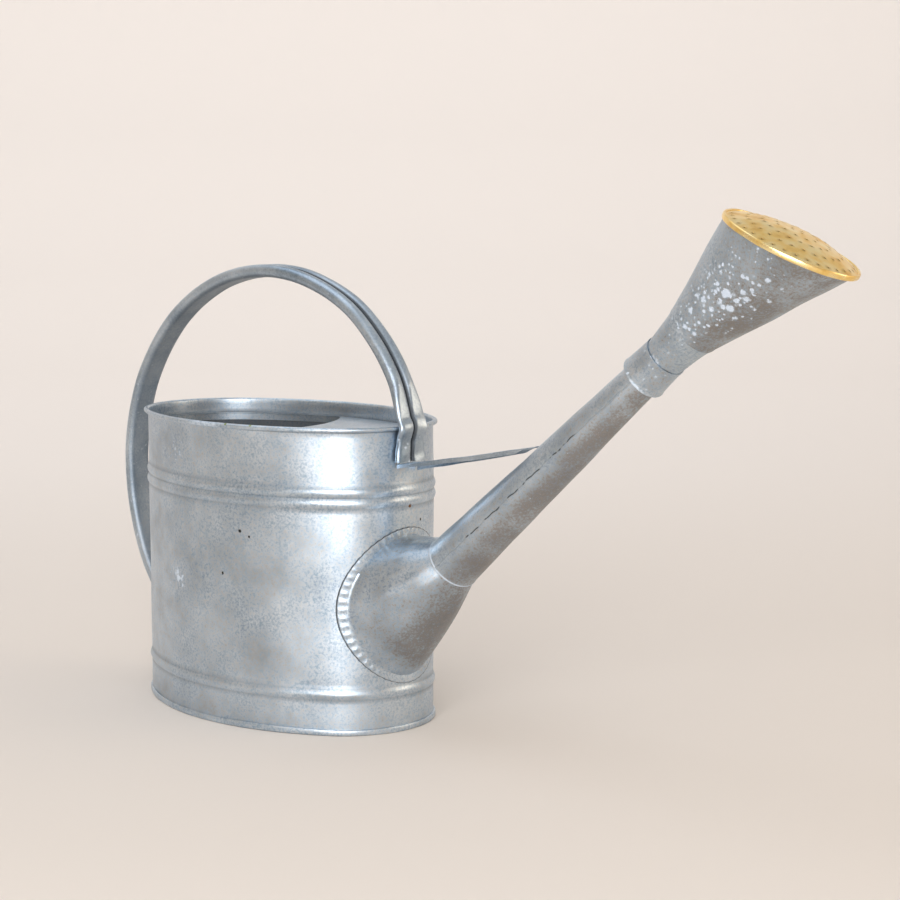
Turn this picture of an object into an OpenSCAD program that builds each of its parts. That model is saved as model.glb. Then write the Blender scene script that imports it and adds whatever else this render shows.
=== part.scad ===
// Oval galvanised watering can with a rolled-edge loop handle and a push-on rose.
// Millimetres. +X points to the spout, +Z is up, Y = 0 is the plane of symmetry,
// and the origin is the middle of the foot, on the ground.

/* [Body] */
// Length of the oval body, outside the sheet
body_length = 315; // [260:1:380]
// Width of the oval body, outside the sheet
body_width = 204; // [180:1:240]
// Height of the middle of the rolled rim
body_height = 268; // [230:1:320]
// Radius of the two narrow ends of the oval
end_radius = 77; // [74:1:84]
// Thickness of the body sheet
sheet = 0.6; // [0.5:0.1:0.9]

/* [Rim and beads] */
// Diameter of the wire in the rolled rim
wire_d = 3.2; // [2.5:0.1:4]
// How far the stiffening beads stand proud of the wall
bead_proud = 1.6; // [1:0.1:2.5]
// Height of each bead, from crease to crease
bead_w = 9.5; // [7:0.5:12]
// Height of the lowest crease of the upper pair of beads
upper_bead_z = 199.2; // [180:0.1:205]
// Height of the crease under the lower bead
lower_bead_z = 31.4; // [28:0.1:34]
// Height of the seam that stands round the foot
seam_h = 5.5; // [4:0.5:8]
// How far the bottom plate lies above the ground
bottom_recess = 10; // [8:1:16]

/* [Deck] */
// How far the half deck lies below the middle of the rim
deck_drop = 12; // [10:1:30]
// Depth of the flange that the deck turns down along the wall
deck_flange = 7; // [5:1:12]
// Where the edge of the half deck crosses the middle of the can
deck_edge_x = 10; // [0:1:30]
// Radius of the hollow curve of that edge
deck_edge_r = 131; // [125:1:150]

/* [Handle] */
// Height of the handle's middle line above the rim
handle_rise = 131; // [110:1:150]
// How far the handle's middle line bows out behind the body
handle_bow = 68.5; // [60:0.5:75]
// Thickness of the strap where its edges are rolled into tubes
roll_d = 11.8; // [9:0.1:12.5]
// Thickness of the strap where it is crushed flat for soldering
crushed_t = 6.4; // [5:0.1:7.5]
// Thickness of the handle sheet
strap_sheet = 0.8; // [0.6:0.1:1]
// Width of the slit between the two rolled edges
slit = 1.2; // [0.8:0.1:2]

/* [Spout] */
// Angle of the spout above level
spout_angle = 39.7; // [36:0.1:43]
// Height at which the spout's middle line meets the end of the body
spout_z = 110; // [100:1:116]
// Distance along the spout from the body to the start of the tube
tube_start = 72.5; // [68:0.5:80]
// Length of the tapered tube
tube_length = 300; // [250:1:340]
// Outside diameter of the tube at its root
tube_d1 = 48.6; // [44:0.1:52]
// Outside diameter of the tube at its tip
tube_d2 = 28.2; // [25:0.1:31]
// Height of the boot's flange on the body
boot_height = 138; // [130:1:142]
// Width of the boot's flange, straight across
boot_width = 120; // [112:1:122]
// Width of the crimped flange itself
flange_w = 7; // [5:0.5:9]
// Diameter of the water hole behind the boot
water_hole_d = 62; // [40:1:70]

/* [Brace] */
// Width of the brace strip at the body
brace_w1 = 26; // [18:1:28]
// Width of the brace strip at the spout
brace_w2 = 13; // [10:1:16]
// Depth of the strip's folded edges
brace_fold = 4; // [3:0.5:6]
// Height at which the brace meets the body, below the rim
brace_drop = 32.5; // [30:0.5:45]
// How far in front of the body the brace meets the spout
brace_reach = 155; // [130:1:180]

/* [Rose] */
// How much of the spout the rose's collar covers
collar_overlap = 31.6; // [25:0.1:40]
// Length of the collar
collar_length = 28; // [22:1:31]
// Outside diameter of the collar at its open edge
collar_d1 = 38.2; // [36:0.1:44]
// Outside diameter of the collar at its upper edge
collar_d2 = 36; // [34:0.1:37]
// Length of the flared neck above the collar
neck_length = 34; // [25:1:45]
// Outside diameter where the neck meets the cone
crease_d = 44.2; // [41:0.1:50]
// Length of the cone along its middle line, to the face
cone_length = 108; // [90:1:125]
// Half angle of the cone
cone_half_angle = 14; // [11:0.1:16]
// How far the face is tipped up from square
face_tilt = 26.6; // [15:0.1:30]
// How far the rose is turned on the spout
rose_turn = 13.5; // [-30:0.1:30]
// Height of the domed face
dome_h = 11; // [7:0.5:14]
// Diameter of the spray holes
spray_d = 1.8; // [1.2:0.1:2.4]
// Distance between spray holes along a ring
spray_pitch = 8.5; // [7:0.1:12]
// Distance between rings of spray holes
ring_pitch = 11; // [9:0.1:14]

/* [Fits] */
// Gap left for solder where a curved piece lies on another
solder_gap = 0.3; // [0.2:0.05:0.4]
// Running gap between the rose's collar and the ferrule
push_fit = 0.05; // [0.03:0.01:0.1]
// Gap between folded sheets in a seam
seam_gap = 0.05; // [0.02:0.01:0.1]

/* [Hidden] */
$fn = 96;
zinc = "lightsteelblue";
over = 1;

// The oval is four arcs: two ends of end_radius about (+-end_x, 0) and two flanks about (0, -+flank_y).
half_l = body_length / 2;
half_w = body_width / 2;
end_x = half_l - end_radius;
flank_r = (end_x * end_x + half_w * half_w - end_radius * end_radius) / (2 * (half_w - end_radius));
flank_y = flank_r - half_w;
join_angle = atan2(flank_y, end_x);

// The spout's middle line starts at the end of the body, at spout_z.
spout_dir = [cos(spout_angle), 0, sin(spout_angle)];
spout_up = [-sin(spout_angle), 0, cos(spout_angle)];
spout_foot = [half_l, 0, spout_z];
tube_end = tube_start + tube_length;
collar_start = tube_end - collar_overlap;
collar_end = collar_start + collar_length;
neck_end = collar_end + neck_length;
face_at = neck_end + cone_length;

// Each arc is cut at the lines that run from the middle of an end through the places where the arcs meet.
join_reach = 4 * end_radius;
join_at = [end_x + join_reach * cos(join_angle), join_reach * sin(join_angle)];
module end_region() {
    polygon([[end_x, 0], [join_at[0], -join_at[1]], join_at]);
}
module flank_region() {
    polygon([[-end_x, 0], [end_x, 0], join_at, [-join_at[0], join_at[1]]]);
}

// Sweeps a profile drawn as [offset from the body's outside, height] round the oval.
module oval_ring() {
    for (side = [0, 1]) mirror([side, 0, 0]) intersection() {
        translate([end_x, 0, 0]) rotate_extrude() translate([end_radius, 0]) children();
        translate([0, 0, -over]) linear_extrude(2 * body_height) end_region();
    }
    for (side = [0, 1]) mirror([0, side, 0]) intersection() {
        translate([0, -flank_y, 0]) rotate_extrude() translate([flank_r, 0]) children();
        translate([0, 0, -over]) linear_extrude(2 * body_height) flank_region();
    }
}

module oval_area(offset) {
    for (side = [0, 1]) mirror([side, 0]) intersection() {
        translate([end_x, 0]) circle(end_radius + offset, $fn = 180);
        end_region();
    }
    for (side = [0, 1]) mirror([0, side]) intersection() {
        translate([0, -flank_y]) circle(flank_r + offset, $fn = 360);
        flank_region();
    }
}

// ---- Body ----

rim_r = wire_d / 2 + seam_gap + sheet;
rim_offset = rim_r - sheet;
wall_foot = sheet + seam_gap;
bead_steps = 8;
bead_creases = [lower_bead_z, upper_bead_z, upper_bead_z + bead_w];

function bead_at(z, crease) =
    z > crease && z < crease + bead_w ? bead_proud * sin(180 * (z - crease) / bead_w) : 0;
function wall_proud(z) = max([for (crease = bead_creases) bead_at(z, crease)]);

wall_heights = concat([wall_foot],
    [for (i = [0 : bead_steps]) lower_bead_z + i * bead_w / bead_steps],
    [for (i = [0 : 2 * bead_steps]) upper_bead_z + i * bead_w / bead_steps],
    [body_height]);

module wall_profile() {
    last = len(wall_heights) - 1;
    polygon(concat(
        [for (i = [0 : last]) [wall_proud(wall_heights[i]), wall_heights[i]]],
        [for (i = [last : -1 : 0]) [wall_proud(wall_heights[i]) - sheet, wall_heights[i]]]));
    // The curl round the rim wire, open by a slot where its free edge meets the wall.
    difference() {
        translate([rim_offset, body_height]) circle(rim_r);
        translate([rim_offset, body_height]) circle(rim_r - sheet);
        translate([0, body_height - 2 * rim_r]) square([rim_r / 2, 1.2 * rim_r]);
    }
}

module body_wall() {
    color(zinc) difference() {
        oval_ring() wall_profile();
        translate([end_x, 0, spout_z]) rotate([0, 90, 0]) cylinder(d = water_hole_d, h = 2 * end_radius);
    }
}

module rim_wire() {
    color("gray") oval_ring() translate([rim_offset, body_height]) circle(d = wire_d, $fn = 24);
}

// The bottom plate turns down inside the wall, under its foot and up outside it.
pan_inside = -2 * sheet - seam_gap;

module base_pan() {
    color(zinc) {
        translate([0, 0, bottom_recess]) linear_extrude(sheet) oval_area(pan_inside + sheet);
        oval_ring() polygon([
            [pan_inside, 0], [sheet + seam_gap, 0], [sheet + seam_gap, seam_h], [seam_gap, seam_h],
            [seam_gap, sheet], [pan_inside + sheet, sheet], [pan_inside + sheet, bottom_recess + sheet],
            [pan_inside, bottom_recess + sheet]]);
    }
}

// The deck covers the spout's half of the can and keeps a flange all round.
deck_top = body_height - deck_drop;
deck_offset = -sheet - seam_gap;
deck_ledge = 3;
deck_hem = 4;

module deck_edge_disc(radius, from, height) {
    translate([deck_edge_x - deck_edge_r, 0, from]) cylinder(r = radius, h = height, $fn = 360);
}

module deck_plate() {
    color(zinc) {
        oval_ring() polygon([
            [deck_offset, deck_top], [deck_offset - deck_ledge, deck_top],
            [deck_offset - deck_ledge, deck_top - sheet], [deck_offset - sheet, deck_top - sheet],
            [deck_offset - sheet, deck_top - deck_flange], [deck_offset, deck_top - deck_flange]]);
        difference() {
            translate([0, 0, deck_top - sheet]) linear_extrude(sheet) oval_area(deck_offset - sheet);
            deck_edge_disc(deck_edge_r, deck_top - sheet - over, sheet + 2 * over);
        }
        intersection() {
            difference() {
                deck_edge_disc(deck_edge_r + sheet, deck_top - deck_hem, deck_hem);
                deck_edge_disc(deck_edge_r, deck_top - deck_hem - over, deck_hem + 2 * over);
            }
            translate([0, 0, deck_top - deck_hem]) linear_extrude(deck_hem) oval_area(deck_offset - sheet);
        }
    }
}

// ---- Handle ----

// The strap's path in the XZ plane is a list of [x, z, heading, thickness]. From the front foot it climbs the
// wall, steps out round the rim, and turns left through three arcs; then a straight tail and a bend the other
// way lay the rear foot on the wall. A heading of 90 is straight up and 180 is back along -X.
foot_seat = solder_gap + crushed_t / 2;
foot_drop = 29;
step_up = 12;
spring_h = 10;
spring_out = 3.2;
arc_heading = [107.4, 156.2, 226.3, 306.6];
tail_reach = 31.5;
tail_bend_r = 14;
rear_foot = 6;
crush_run = 26;

handle_top = handle_rise - spring_h;
arc_3 = (handle_bow - tail_reach) / (1 + sin(arc_heading[3]));
span_x = -2 * half_l - handle_bow - spring_out + arc_3 * (1 + sin(arc_heading[2]));
turn_x = [sin(arc_heading[1]) - sin(arc_heading[0]), sin(arc_heading[2]) - sin(arc_heading[1])];
turn_z = [cos(arc_heading[0]) - cos(arc_heading[1]), cos(arc_heading[1]) + 1];
arc_1 = (handle_top - turn_z[1] * span_x / turn_x[1]) / (turn_z[0] - turn_z[1] * turn_x[0] / turn_x[1]);
arc_2 = (span_x - arc_1 * turn_x[0]) / turn_x[1];
arc_radius = [arc_1, arc_2, arc_3];
arc_steps = [9, 12, 15];

function smooth(u) = let(v = min(1, max(0, u))) v * v * (3 - 2 * v);
function hermite(u, p0, p1, m0, m1) =
    (2 * pow(u, 3) - 3 * u * u + 1) * p0 + (pow(u, 3) - 2 * u * u + u) * m0
    + (3 * u * u - 2 * pow(u, 3)) * p1 + (pow(u, 3) - u * u) * m1;

// How far the strap's middle line stands off the wall, at a height h from the middle of the rim.
rim_seat = rim_offset + rim_r + foot_seat;
function front_off(h) = h <= 0
    ? foot_seat + (rim_seat - foot_seat) * smooth(1 + h / step_up)
    : hermite(h / spring_h, rim_seat, spring_out, 0, spring_h / tan(arc_heading[0]));
front_levels = [-foot_drop, -22, -16, -step_up, -8, -4, 0, 3.5, 7];
function front_heading(h) = 90 - atan((front_off(h + 0.5) - front_off(h - 0.5)));

front = [for (h = front_levels) [half_l + front_off(h), body_height + h, front_heading(h), crushed_t]];

function arc_start(i) = i == 0
    ? [half_l + spring_out, body_height + spring_h]
    : arc_point(i - 1, arc_heading[i]);
function arc_point(i, heading) = arc_start(i) + arc_radius[i] * [
    sin(heading) - sin(arc_heading[i]), cos(arc_heading[i]) - cos(heading)];

function opened(run) = crushed_t + (roll_d - crushed_t) * smooth(run / crush_run);
function arc_thickness(i, heading) =
    i == 0 ? opened(arc_radius[0] * (heading - arc_heading[0]) * PI / 180) :
    i == 2 ? opened(arc_radius[2] * (arc_heading[3] - heading) * PI / 180) : roll_d;

arcs = [for (i = [0 : 2]) for (k = [0 : arc_steps[i] - (i == 2 ? 0 : 1)])
    let(heading = arc_heading[i] + k * (arc_heading[i + 1] - arc_heading[i]) / arc_steps[i])
    concat(arc_point(i, heading), [heading, arc_thickness(i, heading)])];

arcs_end = arc_point(2, arc_heading[3]);
bend_x = tail_bend_r * (1 + sin(arc_heading[3]));
tail_run = (-half_l - foot_seat - bend_x - arcs_end[0]) / cos(arc_heading[3]);
tail_end = arcs_end + tail_run * [cos(arc_heading[3]), sin(arc_heading[3])];
tail = [for (heading = [arc_heading[3], 294, 282, 270]) concat(
    tail_end + tail_bend_r * [sin(arc_heading[3]) - sin(heading), cos(heading) - cos(arc_heading[3])],
    [heading, crushed_t])];
rear = [concat([tail[3][0], tail[3][1] - rear_foot], [270, crushed_t])];
strap_path = concat(front, arcs, tail, rear);

// The strap's section as pairs of [outer, inner] points [across, outwards], from one rolled edge along the
// web to the other. Each roll is a ring of thickness t, stretched by flat so its outline keeps its length.
roll_turns = [[-90, -1], [-90, 1], [-60, 1], [-30, 1], [0, 1], [30, 1], [60, 1], [90, 1], [90, -1],
              [120, -1], [150, -1], [180, -1], [210, -1]];
function flat(t) = 0.3 + PI * (roll_d - t) / 2;
function roll_middle(t) = (flat(t) + t + slit) / 2;
function roll_point(turn, t, r) = [
    roll_middle(t) + turn[1] * flat(t) / 2 + r * cos(turn[0]), r * sin(turn[0])];
function roll_pair(turn, t) = [roll_point(turn, t, t / 2), roll_point(turn, t, t / 2 - strap_sheet)];
function mirrored(pair) = [for (p = pair) [-p[0], p[1]]];
function strap_section(t) = concat(
    [for (i = [len(roll_turns) - 1 : -1 : 0]) mirrored(roll_pair(roll_turns[i], t))],
    [for (turn = roll_turns) roll_pair(turn, t)]);
function strap_point(place, p) = [
    place[0] + p[1] * sin(place[2]), p[0], place[1] - p[1] * cos(place[2])];

// A sheet is a grid of [outer, inner] pairs: rows run along it, and each row has the same number of pairs.
function sheet_points(grid) = [for (row = grid) for (pair = row) for (p = pair) p];
function quad(a, b, c, d) = [[a, b, c], [a, c, d]];
function sheet_faces(rows, pairs, round = false) = let(
    id = function (r, k, side) 2 * (r * pairs + k % pairs) + side,
    last = round ? pairs - 1 : pairs - 2)
    [for (q = concat(
        [for (r = [0 : rows - 2]) for (k = [0 : last])
            quad(id(r, k, 0), id(r, k + 1, 0), id(r + 1, k + 1, 0), id(r + 1, k, 0))],
        [for (r = [0 : rows - 2]) for (k = [0 : last])
            quad(id(r, k, 1), id(r + 1, k, 1), id(r + 1, k + 1, 1), id(r, k + 1, 1))],
        [for (k = [0 : last]) quad(id(0, k, 0), id(0, k, 1), id(0, k + 1, 1), id(0, k + 1, 0))],
        [for (k = [0 : last]) quad(id(rows - 1, k, 0), id(rows - 1, k + 1, 0),
            id(rows - 1, k + 1, 1), id(rows - 1, k, 1))],
        round ? [] : [for (r = [0 : rows - 2])
            quad(id(r, 0, 0), id(r + 1, 0, 0), id(r + 1, 0, 1), id(r, 0, 1))],
        round ? [] : [for (r = [0 : rows - 2])
            quad(id(r, pairs - 1, 0), id(r, pairs - 1, 1), id(r + 1, pairs - 1, 1), id(r + 1, pairs - 1, 0))]))
        for (triangle = q) triangle];

module handle_strap() {
    grid = [for (place = strap_path)
        [for (pair = strap_section(place[3])) [for (p = pair) strap_point(place, p)]]];
    color("slategray") polyhedron(sheet_points(grid), sheet_faces(len(grid), len(grid[0])));
}

// ---- Spout ----

module along_spout() {
    translate(spout_foot) rotate([0, 90 - spout_angle, 0]) children();
}

// A thin cone about the spout's middle line, given by its outside radius at two distances.
module cone_shell(from, to, r_from, r_to) {
    rotate_extrude() polygon([[r_from - sheet, from], [r_from, from], [r_to, to], [r_to - sheet, to]]);
}

tube_taper = (tube_d1 - tube_d2) / 2 / tube_length;
function tube_r(s) = tube_d1 / 2 - tube_taper * (s - tube_start);

module spout_tube() {
    color(zinc) along_spout() cone_shell(tube_start, tube_end, tube_r(tube_start), tube_r(tube_end));
}

// The boot is a sheet that starts as a flange on the wall, rises as a hood, and ends as a neck in the tube.
boot_middle = spout_z + 1.6;
boot_pairs = 48;
hood_rows = 9;
neck_to = tube_start + 14;
function neck_r(s) = tube_r(s) - sheet - solder_gap;

// A point on the wall's narrow end, at a distance y from the middle and an offset from its outside.
function on_wall(y, z, offset) = [end_x + sqrt(pow(end_radius + offset, 2) - y * y), y, z];
function flange_point(turn, inset, offset) = on_wall(
    (boot_width / 2 - inset) * sin(turn), boot_middle + (boot_height / 2 - inset) * cos(turn), offset);
function spout_point(s, r, turn) = spout_foot + s * spout_dir + r * (cos(turn) * spout_up + [0, sin(turn), 0]);
function bezier(u, a, b, c, d) =
    pow(1 - u, 3) * a + 3 * u * pow(1 - u, 2) * b + 3 * u * u * (1 - u) * c + pow(u, 3) * d;

// The hood leaves the wall nearly square and reaches the tube flared: wide below, and level above.
function hood_leave(turn) = [1, -0.3 * sin(turn), 0.2 - 0.25 * cos(turn)];
function hood_arrive(turn) =
    (0.62 + 0.38 * cos(turn)) * (cos(turn) * spout_up + [0, sin(turn), 0]) - spout_dir;
function hood_point(turn, u, skin) = let(
    start = flange_point(turn, flange_w + skin, solder_gap + sheet - skin),
    end = spout_point(tube_start, neck_r(tube_start) - skin, turn),
    reach = norm(end - start))
    bezier(u, start, start + 0.4 * reach * hood_leave(turn), end + 0.3 * reach * hood_arrive(turn), end);

boot_turns = [for (k = [0 : boot_pairs - 1]) 360 * k / boot_pairs];
boot_grid = concat(
    [[for (turn = boot_turns) [flange_point(turn, 0, solder_gap + sheet), flange_point(turn, 0, solder_gap)]]],
    [for (i = [0 : hood_rows]) [for (turn = boot_turns)
        [hood_point(turn, i / hood_rows, 0), hood_point(turn, i / hood_rows, sheet)]]],
    [[for (turn = boot_turns) [spout_point(neck_to, neck_r(neck_to), turn),
        spout_point(neck_to, neck_r(neck_to) - sheet, turn)]]]);

module spout_boot() {
    color("lightslategray") polyhedron(sheet_points(boot_grid), sheet_faces(len(boot_grid), boot_pairs, true));
}

// ---- Brace ----

// The brace is a channel: a tapered strip with both edges folded down. Its far end lands on the tube's crown.
brace_sheet = 1;
brace_roll = 8;
brace_rows = 8;
brace_z = body_height - brace_drop;
crown_s = (brace_reach + (tube_d1 / 2 + tube_taper * tube_start) * sin(spout_angle))
    / (cos(spout_angle) + tube_taper * sin(spout_angle));
crown = spout_point(crown_s, tube_r(crown_s), 0);
brace_end_z = crown[2] + solder_gap + brace_sheet;
fold_end = 0.92;

function brace_fold_at(u) =
    brace_sheet + (brace_fold - brace_sheet) * (1 - smooth((u - fold_end + 0.08) / 0.08));
function brace_section(u) = let(
    w = (brace_w1 + (brace_w2 - brace_w1) * u) / 2,
    d = brace_fold_at(u) + 0.01,
    t = brace_sheet)
    [[[-w, -d], [t - w, -d]], [[-w, 0], [t - w, -t]], [[w, 0], [w - t, -t]], [[w, -d], [w - t, -d]]];
function brace_point(u, p) = let(
    roll = -brace_roll * (1 - u),
    y = p[0] * cos(roll) - p[1] * sin(roll),
    z = p[0] * sin(roll) + p[1] * cos(roll))
    [half_l + solder_gap + u * (brace_reach - solder_gap), y, brace_z + u * (brace_end_z - brace_z) + z];

module brace_strip() {
    levels = concat([for (i = [0 : brace_rows - 1]) 0.84 * i / (brace_rows - 1)], [0.88, 0.92, 1]);
    grid = [for (u = levels) [for (pair = brace_section(u)) [for (p = pair) brace_point(u, p)]]];
    color("silver") polyhedron(sheet_points(grid), sheet_faces(len(grid), len(grid[0])));
}

// ---- Rose and its seat ----

collar_taper = (collar_d1 - collar_d2) / 2 / collar_length;
function collar_bore(s) = collar_d1 / 2 - sheet - collar_taper * (s - collar_start);
neck_lap = 3;
ferrule_from = collar_start + 1;
ferrule_to = collar_end - neck_lap - 1;

// A folded sleeve soldered round the tip of the tube, which the collar of the rose is pushed on.
module spout_ferrule() {
    hub_from = tube_r(ferrule_from) + seam_gap;
    hub_to = tube_r(ferrule_to) + seam_gap;
    skin_from = collar_bore(ferrule_from) - push_fit;
    skin_to = collar_bore(ferrule_to) - push_fit;
    color("gray") along_spout() rotate_extrude() polygon([
        [hub_from, ferrule_from], [skin_from, ferrule_from], [skin_to, ferrule_to], [hub_to, ferrule_to],
        [hub_to, ferrule_to - sheet], [skin_to - sheet, ferrule_to - sheet],
        [skin_from - sheet, ferrule_from + sheet], [hub_from, ferrule_from + sheet]]);
}

module in_rose() {
    along_spout() rotate(-rose_turn) children();
}

module in_face() {
    in_rose() translate([0, 0, face_at]) rotate([0, -face_tilt, 0]) children();
}

module rose_collar() {
    color(zinc) in_rose() cone_shell(collar_start, collar_end, collar_d1 / 2, collar_d2 / 2);
}

module rose_neck() {
    lap_r = collar_bore(collar_end - neck_lap) - seam_gap;
    throat_r = collar_bore(collar_end) - seam_gap;
    crease_r = crease_d / 2;
    color(zinc) in_rose() rotate_extrude() polygon([
        [lap_r - sheet, collar_end - neck_lap], [lap_r, collar_end - neck_lap], [throat_r, collar_end],
        [crease_r, neck_end], [crease_r - sheet, neck_end], [throat_r - sheet, collar_end]]);
}

cone_flare = tan(cone_half_angle);
cone_beyond = cone_length + 60;

// The cone, grown by an amount on its outside, as a solid or as a shell.
module cone_solid(grown) {
    in_rose() translate([0, 0, neck_end])
        cylinder(
            h = cone_beyond,
            r1 = crease_d / 2 + grown,
            r2 = crease_d / 2 + grown + cone_beyond * cone_flare);
}

module face_slab(from, to) {
    in_face() translate([0, 0, (from + to) / 2]) cube([6 * crease_d, 6 * crease_d, to - from], center = true);
}

module rose_cone() {
    color("lightslategray") difference() {
        in_rose() translate([0, 0, seam_gap]) cone_shell(
            neck_end, neck_end + cone_beyond, crease_d / 2, crease_d / 2 + cone_beyond * cone_flare);
        face_slab(0, 2 * cone_beyond);
    }
}

// The brass face is a pierced dome seated in a rolled band, which grips the edge of the cone. The face lies
// face_seat above the cone's edge and reaches face_grown beyond the cone's outside, into the band's rebate.
band_t = 1.6;
band_down = 3;
band_up = 2;
face_seat = 0.2;
face_grown = seam_gap + band_t / 2;
band_r = crease_d / 2 + cone_length * cone_flare + seam_gap + band_t / 2;
oval_up = band_r / (cos(face_tilt) + cone_flare * sin(face_tilt));
oval_down = band_r / (cos(face_tilt) - cone_flare * sin(face_tilt));
face_half = (oval_up + oval_down) / 2;
face_middle = (oval_down - oval_up) / 2;
middle_r = band_r + face_middle * sin(face_tilt) * cone_flare;
face_side = sqrt(pow(middle_r, 2) - pow(face_middle * cos(face_tilt), 2));
dome_r = (face_half * face_half + dome_h * dome_h) / (2 * dome_h);
ring_count = floor((face_side - ring_pitch / 2) / ring_pitch);

module dome_ball(radius) {
    in_face() translate([face_middle, 0, dome_h - dome_r]) sphere(radius, $fn = 180);
}

module spray_holes() {
    in_face() translate([face_middle, 0, 0]) for (ring = [0 : ring_count]) {
        radius = (ring + 0.5) * ring_pitch * 0.92;
        count = max(4, round(2 * PI * radius / spray_pitch));
        for (i = [0 : count - 1]) {
            turn = 360 * (i + 0.5 * (ring % 2)) / count;
            translate([radius * cos(turn) * face_half / face_side, radius * sin(turn), -over])
                cylinder(d = spray_d, h = dome_h + 3 * over, $fn = 16);
        }
    }
}

module rose_face() {
    color("gold") difference() {
        intersection() {
            dome_ball(dome_r);
            cone_solid(face_grown);
            face_slab(face_seat, 2 * dome_h);
        }
        dome_ball(dome_r - sheet);
        spray_holes();
    }
}

module rose_band() {
    color("goldenrod") difference() {
        intersection() {
            cone_solid(seam_gap + band_t);
            face_slab(-band_down, band_up);
        }
        cone_solid(seam_gap);
        intersection() {
            cone_solid(face_grown + seam_gap);
            face_slab(face_seat - seam_gap, 2 * band_up);
        }
    }
}

body_wall();
rim_wire();
base_pan();
deck_plate();
handle_strap();
brace_strip();
spout_boot();
spout_tube();
spout_ferrule();
rose_collar();
rose_neck();
rose_cone();
rose_face();
rose_band();
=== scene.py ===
# %% [markdown]
# # A weathered galvanised watering can
# The can is thin zinc-coated steel, folded, rolled and soldered, with a brass face on its rose. The measured
# model comes in first as a fixed frame. Each visible piece but the flat deck is then made again as one smooth
# surface with the dents, seams and crimps that hand work and long use leave, and takes the place of its plain
# node.
# %% Load the frame
import bpy, math
import numpy as np
from mathutils import Matrix, Vector
from mathutils.geometry import delaunay_2d_cdt


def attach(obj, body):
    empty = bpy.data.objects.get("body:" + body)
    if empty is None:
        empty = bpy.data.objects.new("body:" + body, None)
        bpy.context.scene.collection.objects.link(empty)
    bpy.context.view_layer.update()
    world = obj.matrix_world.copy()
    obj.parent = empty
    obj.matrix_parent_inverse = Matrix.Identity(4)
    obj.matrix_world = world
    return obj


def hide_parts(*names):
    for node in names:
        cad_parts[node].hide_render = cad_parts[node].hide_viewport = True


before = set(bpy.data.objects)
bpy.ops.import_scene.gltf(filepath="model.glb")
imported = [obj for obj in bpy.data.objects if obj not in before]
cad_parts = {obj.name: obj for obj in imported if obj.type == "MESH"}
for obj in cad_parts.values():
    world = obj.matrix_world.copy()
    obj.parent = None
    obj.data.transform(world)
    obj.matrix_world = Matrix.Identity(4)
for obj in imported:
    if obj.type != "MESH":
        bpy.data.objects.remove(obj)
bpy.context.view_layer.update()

print("nodes", sorted(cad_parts))

# %% [markdown]
# ## The sizes
# These are the can's own sizes in millimetres, the same as the measured model's. The oval is four arcs: two
# ends of radius 77 and two flatter flanks, which meet with no corner.
# %% Sizes in millimetres
MM = 0.001
SHEET = 0.6
HALF_L, HALF_W, END_R = 157.5, 102.0, 77.0
END_X = HALF_L - END_R
FLANK_R = (END_X**2 + HALF_W**2 - END_R**2) / (2 * (HALF_W - END_R))
FLANK_Y = FLANK_R - HALF_W
JOIN = math.atan2(FLANK_Y, END_X)
RIM_Z, RIM_R, RIM_OFF = 268.0, 2.25, 1.65
BEAD_W, BEAD_H = 9.5, 1.6
LOW_BEAD, MID_BEAD, TOP_BEAD = 31.4, 199.2, 208.7
SPOUT_A = math.radians(39.7)
FOOT = np.array([HALF_L, 0, 110.0])
ALONG = np.array([math.cos(SPOUT_A), 0, math.sin(SPOUT_A)])
UP = np.array([-math.sin(SPOUT_A), 0, math.cos(SPOUT_A)])
SIDE = np.array([0.0, 1.0, 0.0])
TUBE_FROM, TUBE_TO, TUBE_R1, TUBE_R2 = 72.5, 372.5, 24.3, 14.1
print("flank radius", round(FLANK_R, 2), "join angle", round(math.degrees(JOIN), 2))

# %% [markdown]
# ## From grids of points to closed sheets
# Sheet metal is a surface with a thickness, so each piece is a pair of grids: the points of its outer face
# and those of its inner face. Whole arrays go to the mesh at once. Where the grid does not wrap round, a
# strip of faces closes the edge, so every piece is a closed solid. The sign of its volume tells whether it
# is inside out.
# %% Mesh helpers
def quads(ids):
    """Corners of the four-sided faces between the neighbours of a grid of point numbers."""
    return np.stack([ids[:-1, :-1], ids[:-1, 1:], ids[1:, 1:], ids[1:, :-1]], -1).reshape(-1, 4)


def facing_out(points, faces):
    """The faces, turned over if the volume inside them comes out negative. Each face is cut in triangles from
    its first corner a, and a triangle a, b, c adds a . (b x c) to six times the volume."""
    corners = points[faces]
    a, b, c = corners[:, :1], corners[:, 1:-1], corners[:, 2:]
    return faces[:, ::-1] if (np.cross(b, c) * a).sum() < 0 else faces


def make_mesh(name, points, faces, smooth_below=35):
    """Puts points in mm and faces of equal corner count into a new object. Edges sharper than the angle in
    degrees are kept sharp."""
    mesh = bpy.data.meshes.new(name)
    count, corners = faces.shape
    mesh.vertices.add(len(points))
    mesh.vertices.foreach_set("co", (points * MM).astype(np.float32).ravel())
    mesh.loops.add(count * corners)
    mesh.loops.foreach_set("vertex_index", faces.astype(np.int32).ravel())
    mesh.polygons.add(count)
    mesh.polygons.foreach_set("loop_start", np.arange(0, count * corners, corners, dtype=np.int32))
    mesh.update(calc_edges=True)
    mesh.polygons.foreach_set("use_smooth", np.ones(count, dtype=bool))
    mesh.set_sharp_from_angle(angle=math.radians(smooth_below))
    mesh.validate()
    piece = bpy.data.objects.new(name, mesh)
    bpy.context.scene.collection.objects.link(piece)
    return piece


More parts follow.
